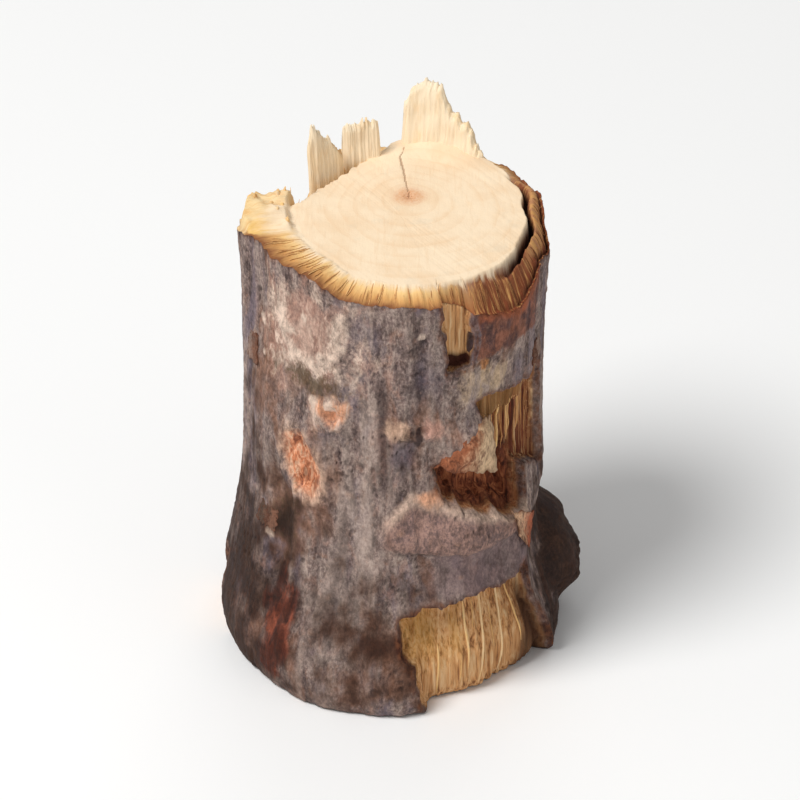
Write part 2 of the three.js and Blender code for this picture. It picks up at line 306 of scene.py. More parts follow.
# The bark: its radius, and masks from 0 to 1 that the finish reads
def barkSurface(angle, z):
    girth = np.interp(z, girthHeights, girthRadii)
    radius = plainRadius(angle, z)
    masks = {}
    # Long drying wrinkles, finer ones between them, and the grain of the skin
    bend = 5 * layers(angle, z, 9, 0.03, 31, 2)
    wrinkle = 1 - 2 * np.abs(layers(angle + bend, z, 34, 0.028, 41, 2))
    finer = 1 - 2 * np.abs(layers(angle + bend * 0.6, z, 88, 0.07, 51, 2))
    skin = layers(angle, z, 150, 0.9, 61, 2)
    strength = 0.6 + 0.5 * layers(angle, z, 7, 0.05, 71, 2)
    rise = barkRelief
    relief = strength * (rise["wrinkle"] * wrinkle + rise["fineWrinkle"] * finer) + rise["skin"] * skin
    # The wrinkles' height, which the finish paints as highlight on the crests and shade in the troughs
    masks["crest"] = np.clip(0.5 + 1.5 * relief, 0, 1)

    lightStreak, darkStreak = np.zeros_like(radius), np.zeros_like(radius)
    for at, lowest, highest, wide, tone in longStreaks:
        off = (turnBetween(angle, at) + 0.8 * bend) * np.radians(girth) / wide
        ends = smooth(z, lowest - 2, lowest + 3) * smooth(highest - z, -2, 3)
        shown = hump(off / 1.3) * ends
        relief += rise["streak"] * tone * shown
        if tone > 0:
            lightStreak = np.maximum(lightStreak, tone * shown)
        else:
            darkStreak = np.maximum(darkStreak, -tone * shown)
    masks["lightStreak"], masks["darkStreak"] = lightStreak, darkStreak
    fleck = np.zeros_like(radius)
    for at, height, size in flecks:
        off = fromOval(angle, z, girth, at, height, size, size) + 0.6 * layers(angle, z, 70, 0.6, 75, 3)
        fleck = np.maximum(fleck, smooth(1.2 - off, 0, 0.5))
    relief += rise["fleck"] * fleck
    masks["fleck"] = fleck

    stub = hump(fromOval(angle, z, girth, *swellings["stub"][:4]) / 1.6)
    folds = np.abs(layers(angle, z, 44, 0.16, 79, 2))
    relief += stub * (0.7 * layers(angle, z, 26, 0.3, 78, 3) - 0.5 * folds)

    # Short cracks across the grain
    crossing = np.abs(layers(angle, z, 16, 0.42, 81, 3))
    cracks = smooth(0.05 - crossing, 0, 0.05) * smooth(layers(angle, z, 12, 0.1, 91, 2), 0.1, 0.35)
    relief -= rise["crack"] * cracks
    masks["crack"] = cracks

    # Breathing pores
    rng = np.random.default_rng(pores["seed"])
    pore = np.zeros_like(radius)
    for _ in range(pores["count"]):
        at, height = rng.uniform(0, 360), rng.uniform(3, 55)
        wide, tall = rng.uniform(*pores["wide"]), rng.uniform(*pores["tall"])
        pore = np.maximum(pore, hump(fromOval(angle, z, girth, at, height, wide, tall) / 1.6))
    relief += pores["rise"] * pore
    masks["pore"] = pore

    scar, halo, softScar = np.zeros_like(radius), np.zeros_like(radius), np.zeros_like(radius)
    for name, one in scars.items():
        off = fromScar(one, angle, z, girth) + 0.12 * layers(angle, z, 80, 0.7, 101, 2)
        relief += rise["scarRim"] * (hump((off - 1.1) / 0.5) - hump(off / 0.95))
        relief += rise["scarGrain"] * layers(angle, z, 120, 0.9, 111, 2) * smooth(1.1 - off, 0, 0.3)
        if name in softScars:
            softScar = np.maximum(softScar, softScars[name] * smooth(1.25 - off, 0, 0.5))
        else:
            scar = np.maximum(scar, smooth(1 - off, -0.08, 0.2))
            halo = np.maximum(halo, hump((off - 1) / 0.34))
    masks["scar"], masks["scarHalo"], masks["softScar"] = scar, halo, softScar

    # Bare places, each with its own floor
    fibre = layers(angle, z, 170, 0.04, 121, 2)
    tufts = layers(angle, z, 60, 0.3, 131, 3)
    deepest, bare = np.zeros_like(radius), np.zeros_like(radius)
    for name, spot in bareSpots.items():
        inside = insideSpot(spot, angle, z, girth)
        within = smooth(inside, -spotEdge["wide"] / 2, spotEdge["wide"] / 2)
        floor = spot["depth"] + 0.13 * fibre + 0.12 * tufts
        if name == "hollow":
            floor = spot["depth"] * (0.62 + 0.38 * smooth(inside + 0.5 * tufts, 0.9, 1.5)) + 0.3 * tufts
        if name == "window":
            floor = floor - 0.7 * smooth(z, 37, 38) + 0.3 * fibre + 0.25 * layers(angle, z, 100, 0.02, 125, 2)
        if name == "footChip":
            floor = floor + 0.2 * fibre + 0.25 * layers(angle, z, 90, 0.015, 127, 2) - 0.08 * tufts
            floor = floor - 0.8 * (1 - smooth(inside, 0.3, 1.1)) * smooth(tufts, -0.2, 0.3)
        deepest = np.maximum(deepest, floor * within)
        bare = np.maximum(bare, within)
        masks[name] = within
        if name == "hollow":
            masks["hollowFoot"] = hump((inside - 0.5) / 0.8) * smooth(30 - z, 0, 2)
        masks[name + "Rim"] = hump((inside + 0.25) / 0.75) * (1 - within)
    masks["bare"] = bare
    radius += relief * (1 - bare) - deepest

    # Soft and broken noises for the outlines of tinted places
    tinge = layers(angle, z, 30, 0.2, 141, 3)
    ragged = layers(angle, z, 70, 0.35, 145, 3)
    front = turnBetween(angle, 0)
    lipLow = lipShape["foot"] + 0.4 * degSin(angle * 7) + 0.4 * ragged + 0.1 * np.clip(14 - front, 0, 40)
    lipHigh = np.interp(front, lipShape["angles"], lipShape["tops"])
    lip = smooth(z - lipLow, -0.3, 0.4) * smooth(lipHigh - z, -0.3, 0.3)
    lip = lip * smooth(front, -9, -3) * smooth(61 - front, 0, 4)
    masks["lip"] = lip * (1 - bare)
    rim = hump((z - lipHigh + 0.5) / 1.6) * smooth(front, -9, 0) * smooth(50 - front, 0, 6)
    ledge = masks["hollowRim"] * smooth(26.6 - z + 0.1 * (30 - front), 0, 1)
    masks["hollowRim"] = masks["hollowRim"] - ledge
    masks["lipRim"] = np.maximum(rim, 1.4 * ledge) * (1 - bare)
    # A painted shadow along the lip's lower edge
    line = hump((z - lipLow + 0.15) / 0.4) * smooth(front, -5, 2) * smooth(60 - front, 0, 4)
    masks["lipLine"] = line * (1 - bare)
    under = smooth(z + 0.7 * tinge, 13, 16) * smooth(lipLow - z, -0.3, 0.6)
    masks["underLip"] = under * smooth(front, 0, 22) * smooth(64 - front, 0, 8)
    radius += (rise["lip"] + 0.1 * ragged) * masks["lip"]
    for name, places in barkPatches.items():
        shown = []
        for at, height, wide, tall, share in places:
            off = np.hypot(turnBetween(angle, at) / wide, (z - height) / tall)
            shown.append(np.clip(share * (1.25 - off + 0.45 * tinge + 0.3 * ragged), 0, 1))
        masks[name] = np.max(shown, axis=0)
    for name in ("pale", "orange", "ledge"):
        masks[name] *= 1 - bare
    left, foot = plateShape["left"], plateShape["foot"]
    plate = smooth(front + 1.5 * ragged, left, left + 2) * smooth(plateShape["right"] - front, 0, 8)
    masks["plate"] = plate * smooth(z + 0.6 * ragged, foot, foot + 1.5) * (1 - bare)
    aside, above = turnBetween(angle, dome["angle"]), z - dome["height"]
    off = np.hypot(aside / dome["wide"], above / dome["tall"]) + 0.1 * tinge
    masks["dome"] = smooth(1.02 - off, 0, 0.25)
    masks["domeRim"] = hump((off - 1.08) / 0.26) * smooth(-above - 0.14 * aside, -2.5, 1.5)
    radius += rise["domeRim"] * masks["domeRim"] * (1 - bare)
    return radius, masks


# A closed mesh from rings of points, with a single point at each end
def ringMesh(name, rings, first, last, masks, material):
    count, around = rings.shape[:2]
    points = np.vstack([rings.reshape(-1, 3), [first], [last]])
    i, j = np.meshgrid(np.arange(count - 1), np.arange(around), indexing="ij")
    nextJ = (j + 1) % around
    quads = np.stack([i * around + j, i * around + nextJ, (i + 1) * around + nextJ, (i + 1) * around + j], -1)
    start, end = count * around, count * around + 1
    ring = np.arange(around)
    after = (ring + 1) % around
    top = (count - 1) * around
    faces = quads.reshape(-1, 4).tolist()
    faces += np.stack([np.full(around, start), after, ring], -1).tolist()
    faces += np.stack([top + ring, top + after, np.full(around, end)], -1).tolist()
    masks = {key: np.append(value, [value[0].mean(), value[-1].mean()]) for key, value in masks.items()}
    solid(name, points, faces, material, masks)


# A closed slab between a front and a back grid of points
def slabMesh(name, front, back, masks, material):
    rows, across = front.shape[:2]
    behind = rows * across
    i, j = np.meshgrid(np.arange(rows - 1), np.arange(across - 1), indexing="ij")
    a = (i * across + j).ravel()
    cells = np.stack([a, a + 1, a + 1 + across, a + across], -1)
    bottom, right = np.arange(across), np.arange(rows) * across + across - 1
    top, left = behind - 1 - np.arange(across), (np.arange(rows) * across)[::-1]
    rim = np.concatenate([side[:-1] for side in (bottom, right, top, left)])
    after = np.roll(rim, -1)
    sides = np.stack([rim + behind, after + behind, after, rim], -1)
    faces = np.concatenate([cells, cells[:, ::-1] + behind, sides]).tolist()
    points = np.vstack([front.reshape(-1, 3), back.reshape(-1, 3)])
    masks = {key: np.concatenate([value, value]).ravel() for key, value in masks.items()}
    solid(name, points, faces, material, masks)


# A piece of the branch: its mesh, its finish and its place in the frame
def solid(name, points, faces, material, masks):
    mesh = bpy.data.meshes.new(name)
    mesh.from_pydata((points * mm).tolist(), [], faces)
    for key, value in masks.items():
        mesh.attributes.new(key, "FLOAT", "POINT").data.foreach_set("value", np.asarray(value, np.float32))
    mesh.shade_smooth()
    mesh.materials.append(material)
    piece = bpy.data.objects.new(name, mesh)
    bpy.context.scene.collection.objects.link(piece)
    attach(piece, "root")
    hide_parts("wood_piece")


def onBranch(angle, radius, z):
    return np.stack([radius * degSin(angle), -radius * degCos(angle), z + 0 * angle], -1)


# Shader sums written as Python: a Wire is a node's output, and an operator on it adds a Math node
class Wire:
    def __init__(self, tree, socket=None):
        self.tree = tree
        self.socket = socket

    # Any node: its type, its settings, then the values or wires of its sockets
    def make(self, kind, settings=None, inputs=None, output=0):
        node = self.tree.nodes.new(kind)
        for key, value in (settings or {}).items():
            if key == "stops":
                while len(node.color_ramp.elements) < len(value):
                    node.color_ramp.elements.new(0.5)
                for element, (place, colour) in zip(node.color_ramp.elements, value):
                    element.position, element.color = place, colour
            else:
                setattr(node, key, value)
        for key, value in (inputs or {}).items():
            if isinstance(value, Wire):
                self.tree.links.new(value.socket, node.inputs[key])
            else:
                node.inputs[key].default_value = value
        return Wire(self.tree, node.outputs[output])

    def sum(self, operation, *values):
        return self.make("ShaderNodeMath", {"operation": operation}, dict(enumerate(values)))

    def __add__(self, other):
        return self.sum("ADD", self, other)

    def __sub__(self, other):
        return self.sum("SUBTRACT", self, other)

    def __rsub__(self, other):
        return self.sum("SUBTRACT", other, self)

    def __mul__(self, other):
        return self.sum("MULTIPLY", self, other)

    def __truediv__(self, other):
        return self.sum("DIVIDE", self, other)

    __radd__ = __add__
    __rmul__ = __mul__

    def clamped(self):
        return self.make("ShaderNodeClamp", None, {0: self})

    # 0 below low and 1 above high, eased between
    def between(self, low, high):
        settings = {"interpolation_type": "SMOOTHSTEP"}
        return self.make("ShaderNodeMapRange", settings, {0: self, 1: low, 2: high, 3: 0.0, 4: 1.0})

    def mask(self, name):
        return self.make("ShaderNodeAttribute", {"attribute_name": name}, output="Fac")

    # The place on the object in millimetres, stretched along each axis
    def place(self, stretch=(1, 1, 1), turn=(0, 0, 0)):
        where = self.make("ShaderNodeTexCoord", output="Object")
        scale = tuple(1000 * s for s in stretch)
        return self.make("ShaderNodeMapping", None, {"Vector": where, "Scale": scale, "Rotation": turn})

    def noise(self, size, stretch=(1, 1, 1), detail=3.0, rough=0.55, warp=0.0, turn=(0, 0, 0)):
        return self.noiseAt(self.place(stretch, turn), size, detail, rough, warp)

    def noiseAt(self, where, size, detail=3.0, rough=0.55, warp=0.0):
        inputs = {"Vector": where, "Scale": 1 / size, "Detail": detail, "Roughness": rough}
        return self.make("ShaderNodeTexNoise", None, {**inputs, "Distortion": warp})

    def blend(self, share, a, b, mode="MIX"):
        settings = {"data_type": "RGBA", "blend_type": mode}
        return self.make("ShaderNodeMix", settings, {0: share, 6: a, 7: b}, 2)

    # A colour made darker or lighter by a factor
    def lit(self, factor):
        return self.make("ShaderNodeVectorMath", {"operation": "SCALE"}, {0: self, "Scale": factor})

    def ramp(self, *stops):
        return self.make("ShaderNodeValToRGB", {"stops": stops}, {0: self})


# A colour as a paint program shows it, 0 to 255, for a socket
def tint(red, green, blue):
    linear = [((c / 255 + 0.055) / 1.055) ** 2.4 if c > 10 else c / 255 / 12.92 for c in (red, green, blue)]
    return (*linear, 1.0)


# The colour of a surface, built up in coats that each cover a share of what lies below. The share is
# a wire, and a tone is a wire, a colour or the name of one of the paint's tones
class Paint:
    def __init__(self, colour, tones):
        self.colour = colour
        self.tones = tones

    def coat(self, share, tone, mode="MIX"):
        tone = self.tones[tone] if isinstance(tone, str) else tone
        self.colour = share.blend(share, self.colour, tone, mode)


def newMaterial(name, specular):
    material = bpy.data.materials.new(name)
    material.use_nodes = True
    tree = material.node_tree
    shader = tree.nodes["Principled BSDF"]
    shader.inputs["Specular IOR Level"].default_value = specular
    return material, Wire(tree), shader


def finishWith(wire, shader, paint, roughness, relief, depth):
    wire.tree.links.new(paint.colour.socket, shader.inputs["Base Color"])
    wire.tree.links.new(roughness.socket, shader.inputs["Roughness"])
    bump = wire.make("ShaderNodeBump", None, {"Strength": 1.0, "Distance": depth * mm, "Height": relief})
    wire.tree.links.new(bump.socket, shader.inputs["Normal"])


# The bark's finish: mauve grey in long streaks, tinted in places, with bare fibres where it has gone
barkFinish = {
    "dark": tint(66, 52, 50),
    "grey": tint(120, 101, 95),
    "light": tint(168, 149, 138),
    "mauve": tint(110, 98, 108),
    "brown": tint(132, 92, 70),
    "flesh": tint(166, 128, 112),
    "silver": tint(200, 176, 158),
    "moss": tint(78, 62, 42),
    "rust": tint(186, 98, 68),
    # Tints of the painted shade on the foot and the sides
    "rustDark": tint(108, 60, 48),
    "damp": tint(132, 106, 90),
    "soil": tint(46, 32, 26),
    "fleck": tint(212, 188, 170),
    "plateTop": tint(150, 84, 56),
    "blue": tint(88, 82, 96),
    "lip": tint(154, 121, 109),
    "lipGrey": tint(116, 94, 90),
    "lipPale": tint(204, 176, 156),
    "dusk": tint(116, 96, 96),
    "plate": tint(142, 84, 60),
    "plateBlue": tint(86, 56, 52),
    "beige": tint(192, 164, 132),
    "budTan": tint(200, 164, 138),
    "budPink": tint(198, 150, 132),
    "blotch": tint(208, 148, 114),
    "ledge": tint(212, 152, 116),
    "orange": tint(176, 116, 68),
    "scar": tint(200, 126, 88),
    "scarDark": tint(118, 66, 48),
    "scarPale": tint(230, 188, 156),
    "scarEdge": tint(210, 174, 150),
    "pore": tint(156, 118, 96),
    "fibre": tint(214, 158, 104),
    "fibreDark": tint(132, 86, 54),
    "fibrePale": tint(238, 200, 152),
    "olive": tint(202, 150, 76),
    "windowOlive": tint(158, 116, 70),
    "chipDark": tint(84, 54, 36),
    "window": tint(178, 122, 78),
    "hollow": tint(124, 64, 40),
    "hollowDark": tint(66, 31, 20),
    "hollowRed": tint(190, 118, 78),
    "cutEdge": tint(118, 70, 44),
    "sawn": tint(238, 214, 174),
    "sawnDark": tint(214, 178, 130),
    "bump": 0.42,
}


def barkMaterial():
    material, wire, shader = newMaterial("bark", 0.2)
    mask = wire.mask
    c = barkFinish
    streak = wire.noise(1.5, (1, 1, 0.13), 5.0, 0.62, 0.5)
    broad = wire.noise(4.2, (1, 1, 0.3), 3.0, 0.55, 0.6)
    mottle = wire.noise(2.2, (1, 1, 0.8), 5.0, 0.66, 0.8)
    grain = wire.noise(0.34, (1, 1, 0.6), 3.0, 0.7)
    speck = wire.noise(0.75, (1, 1, 0.8), 3.0, 0.65)
    tone = (streak * 0.42 + mottle * 0.33 + grain * 0.25).between(0.36, 0.64)
    bark = Paint(tone.ramp((0.0, c["dark"]), (0.45, c["grey"]), (1.0, c["light"])), c)
    bark.coat(broad.between(0.52, 0.68) * 0.6, "mauve")
    bark.coat((1 - broad).between(0.54, 0.68) * (speck + 0.3).clamped() * 0.75, "brown")
    tinge = wire.noise(2.8, (1, 1, 0.5), 4.0, 0.65, 0.8)
    bark.coat(tinge.between(0.54, 0.68) * 0.5, "flesh")
    bark.coat((speck - 0.56).between(0, 0.12) * 0.45, "dark")
    # Painted highlight on the crests of the wrinkles and painted shade in their troughs
    crest = mask("crest")
    bark.coat((crest - 0.64).between(0, 0.3) * 0.5, "light")
    bark.coat((0.44 - crest).between(0, 0.36) * 0.75, "dark")

    bark.coat(mask("lightStreak") * (mottle + 0.25).clamped() * 0.8, "light")
    bark.coat(mask("darkStreak") * (mottle + 0.3).clamped() * 0.85, "dark")

    # Each patch shows where its mask and a noise together are high, so that its outline is broken
    def patch(name, tone, share, texture, softness):
        bark.coat((mask(name) + texture - 0.85).between(-softness / 2, softness) * share, tone)

    patch("brown", "brown", 0.7, streak, 0.5)
    silverTone = wire.blend(tinge.between(0.4, 0.6), c["silver"], c["flesh"])
    patch("silver", silverTone, 0.75, streak * 0.4 + grain * 0.7, 0.4)
    flake = wire.noise(1.3, (1, 1, 0.6), 5.0, 0.72, 0.4)
    paleFlakes = (mask("silver") * 0.5 + flake * 1.6 - 1.12).between(0, 0.25)
    bark.coat(paleFlakes * 0.75, "fleck")
    bark.coat(mask("dome") * (mottle + 0.1).clamped(), "flesh")
    bark.coat(mask("domeRim") * (flake + 0.1).between(0.38, 0.62) * 0.85, "fleck")
    mossFlakes = (mask("moss") * 0.6 + speck * 0.8 + grain * 0.8 - 1.01).between(0, 0.35)
    bark.coat(mossFlakes * 0.85, "moss")
    blotchTone = wire.blend(tinge.between(0.42, 0.64), c["blotch"], c["fleck"])
    patch("blotch", blotchTone, 0.95, speck * 0.6 + grain * 0.4, 0.5)
    rustTone = wire.blend(streak.between(0.42, 0.58), c["rustDark"], c["rust"])
    patch("rust", rustTone, 0.85, streak, 0.4)
    patch("blue", "blue", 0.55, streak * 0.5 + mottle * 0.5, 0.6)
    lipTone = wire.blend((mottle * 0.5 + grain * 0.5).between(0.38, 0.6), c["lipGrey"], c["lip"])
    bark.coat(mask("lip") * 0.9, lipTone)
    bark.coat((mask("lipRim") * (speck + 0.2)).clamped(), "lipPale")
    patch("ledge", "ledge", 0.8, speck, 0.7)
    # The painted shadow line under the lip
    bark.coat(mask("lipLine") * (mottle + 0.3).clamped() * 0.85, "dark")
    patch("underLip", "dusk", 0.7, mottle, 0.6)
    plateTone = wire.blend((mottle * 0.6 + streak * 0.4).between(0.42, 0.58), c["plateBlue"], c["plate"])
    patch("plate", plateTone, 0.85, mottle, 0.5)
    paleTone = wire.blend(tinge.between(0.4, 0.6), c["beige"], c["light"])
    patch("pale", paleTone, 0.75, mottle * 0.5 + grain * 0.5, 0.6)
    patch("orange", "orange", 0.85, speck, 0.4)
    patch("budTan", "budTan", 0.7, speck * 0.6 + grain * 0.4, 0.6)
    patch("budPink", "budPink", 0.8, speck * 0.6 + grain * 0.4, 0.6)
    # The bud scar's dark middle, reaching below it as painted shadow
    patch("budDark", "dark", 0.9, speck, 0.5)
    bark.coat(mask("plateTop") * (speck + 0.4).clamped(), "plateTop")
    bark.coat(mask("pore") * 0.45, "pore")
    bark.coat((mask("fleck") * (speck + 0.5)).clamped() * 0.9, "fleck")
    sore = wire.noise(0.95, (1, 1, 0.42), 4.0, 0.68, 1.0)
    scarTone = sore.ramp((0.34, c["scarDark"]), (0.48, c["scar"]), (0.64, c["scarPale"]))
    bark.coat(mask("scar"), scarTone)
    scarLine = mask("scar").between(0.05, 0.35) * (1 - mask("scar").between(0.5, 0.95))
    bark.coat(scarLine * mottle.between(0.42, 0.6) * 0.75, "scarDark")
    bark.coat(mask("scarHalo") * (flake + 0.15).between(0.45, 0.75) * 0.75, "scarEdge")
    softTone = wire.blend(tinge.between(0.4, 0.6), c["scar"], c["scarPale"])
    bark.coat((mask("softScar") + speck * 0.8 - 0.75).between(0.0, 0.45) * 0.75, softTone)
    bark.coat(mask("crack") * 0.7, "dark")
    bark.colour = bark.colour.lit(0.7 + 0.7 * (grain * 0.4 + flake * 0.6).between(0.36, 0.64))

    # Painted shade darkens the foot and the two sides
    soil = (mask("damp") + (mottle - 0.5) * 0.7 + (streak - 0.5) * 0.6).between(0.0, 1.1)
    bark.coat(soil, "damp", "MULTIPLY")
    bark.coat(soil * 0.4, "soil")

    # The bare places
    thread = wire.noise(0.4, (1, 1, 0.025), 3.0, 0.65, 0.3)
    patchy = wire.noise(2.4, (1, 1, 0.3), 3.0)
    wood = Paint(thread.ramp((0.34, c["fibreDark"]), (0.48, c["fibre"]), (0.68, c["fibrePale"])), c)
    wood.coat(mask("chipOlive") * (patchy + 0.3).clamped() * 0.7, "olive")
    # Painted shade over the chip's right side, darkest at its far right
    wood.coat(mask("chipShade") * (1.2 - thread).clamped() * 0.8, "fibreDark")
    chipRight = mask("chipRight")
    wood.coat((chipRight + (thread - 0.5) * 0.6).clamped() * chipRight.between(0.0, 0.3), "chipDark")
    inWindow = thread.ramp((0.38, c["hollowDark"]), (0.47, c["hollow"]), (0.55, c["window"]),
                           (0.68, c["fibrePale"]))
    wood.coat(mask("window"), inWindow)
    wood.coat(mask("windowShade") * (1.1 - thread).clamped() * 0.6, "hollow")
    wood.coat(mask("oliveBand") * (patchy + 0.25).clamped() * 0.9, "windowOlive")
    # Painted shade of a hole at the lower end of the rim strip
    wood.coat((mask("stripHole") * 1.6).clamped(), "hollowDark")
    pit = wire.noise(1.0, (1, 1, 0.35), 5.0, 0.7, 0.8)
    pit = Paint(pit.ramp((0.36, c["hollowDark"]), (0.47, c["hollow"]), (0.62, c["hollowRed"])), c)
    pit.coat(mask("hollowShade") * 0.5, "hollowDark")
    wood.coat(mask("hollow"), pit.colour)
    bark.coat(mask("bare").between(0.3, 0.65), wood.colour)
    edge = wire.noise(0.7, (1, 1, 0.6), 3.0).between(0.4, 0.6)
    edgeTone = wire.blend(edge, c["cutEdge"], c["hollowDark"])
    bark.coat(mask("brokenEdge") * (mottle + speck - 0.4).between(0.2, 0.8) * 0.9, edgeTone)

    # The lower cut: sawn wood inside a ring of bark
    rings = wire.noise(1.4, (1, 1, 1), 4.0, 0.6).between(0.35, 0.65)
    bark.coat(mask("footWood"), wire.blend(rings, c["sawnDark"], c["sawn"]))

    roughness = 0.62 + 0.25 * grain + 0.1 * mask("bare")
    relief = streak * 0.5 + grain * 0.35 + mottle * 0.3 + mask("bare") * thread * 0.9
    finishWith(wire, shader, bark, roughness, relief, barkFinish["bump"])
    return material


barkMesh = {"footRows": 6, "sideRows": 142, "corner": 0.25, "tuckIn": 2, "tuckDown": 10}


def makeBark():
    footRows, corner = barkMesh["footRows"], barkMesh["corner"]
    angle = np.arange(columns) * 360 / columns
    edge = edgeHeight(angle)
    rise = np.linspace(0, 1, barkMesh["sideRows"] + 1)[:, None]
    z = rise * edge[None, :]
    a = np.broadcast_to(angle, z.shape)
    radius, masks = barkSurface(a, z)

    uneven = layers(a, z, 60, 0.2, 161, 2)
    masks["windowShade"] = masks["window"] * smooth(35 - z + 1.6 * uneven, 0, 5)
    masks["oliveBand"] = masks["window"] * smooth(z + 0.9 * uneven, 36.2, 38)
    masks["oliveBand"] *= smooth(66 - turnBetween(a, 0), 0, 10)
    streaky = layers(a, z, 40, 0.1, 181, 2)
    # Painted shade over the right part of the chip, darkest at its far right
    masks["chipShade"] = masks["footChip"] * smooth(turnBetween(a, 34) + 7 * streaky, 0, 22)
    masks["chipRight"] = masks["footChip"] * smooth(turnBetween(a, 45) + 5 * streaky, 0, 12)
    masks["chipOlive"] = masks["footChip"] * smooth(26 - turnBetween(a, 0) + 8 * uneven, 0, 20)
    masks["chipOlive"] *= smooth(z, 3, 9)
    masks["plateTop"] = masks["plate"] * smooth(1.5 - (edge - z) + 0.5 * uneven, 0, 0.8)
    shade = np.maximum(smooth(z + 1.2 * uneven, 28.5, 31), masks.pop("hollowFoot"))
    masks["hollowShade"] = masks["hollow"] * shade
    # A dark hole at the lower end of the rim strip, as painted shade in colour only
    masks["stripHole"] = masks["rimStrip"] * hump((z - 47 + 0.4 * uneven) / 1.4)
    brokenEdge = np.max([masks.pop(name + "Rim") for name in bareSpots], axis=0)
    nearRim = hump((edge - z) / 0.8) * (1 - masks["bare"]) * smooth(layers(a, z, 40, 0.1, 191, 2), -0.4, 0.4)
    masks["brokenEdge"] = np.clip(np.maximum(brokenEdge, nearRim), 0, 1)
    for name in bareSpots:
        if name not in ("hollow", "window"):
            masks.pop(name)

    side = onBranch(a, radius, z)
    # The foot: a small worn corner, then the sawn face to its middle
    share = np.linspace(0.12, 1, footRows + 1)[:, None]
    footRadius = share * (radius[0] - corner)
    foot = onBranch(np.broadcast_to(angle, footRadius.shape), footRadius, 0 * share)
    inner = onBranch(angle, radius[-1] - barkMesh["tuckIn"], edge - barkMesh["tuckDown"])[None]
    side[0, :, 2] = corner
    rings = np.concatenate([foot, side, inner])
    blank = {key: np.zeros((rings.shape[0], columns)) for key in masks}
    for key, value in masks.items():
        blank[key][footRows + 1 : -1] = value
    blank["footWood"] = np.zeros((rings.shape[0], columns))
    blank["footWood"][: footRows + 1] = smooth(1 - share, 0.04, 0.12)
    ringMesh("bark_and_foot", rings, (0, 0, 0), (0, 0, 35), blank, barkMaterial())


makeBark()
print("bark made")


# The upper cut: sawn wood in the middle, torn inner bark round it, broken wood beyond the saw's stop
crackPath = {
    "points": [(1.34, 3.3), (1.1, 4.6), (0.75, 7), (0.46, 9.9), (0.02, 13.2), (0.6, 15.4)],
    "wide": [0.05, 0.08, 0.1, 0.16, 0.15, 0.06],
    "deep": 0.18,
}


# How deep a point lies in the crack that runs from the pith: 0 outside, 1 on its line
def inCrack(x, y):
    px, py = np.array(crackPath["points"]).T
    ragged = 0.12 * noise(x * 0 + 3, y * 1.3, 201, 256)
    line = np.interp(y, py, px) + ragged
    wide = np.interp(y, py, crackPath["wide"])
    ends = smooth(y, py[0], py[0] + 0.4) * smooth(py[-1] - y, 0, 0.5)
    return hump((x - line) / np.maximum(wide, 0.05)) * ends


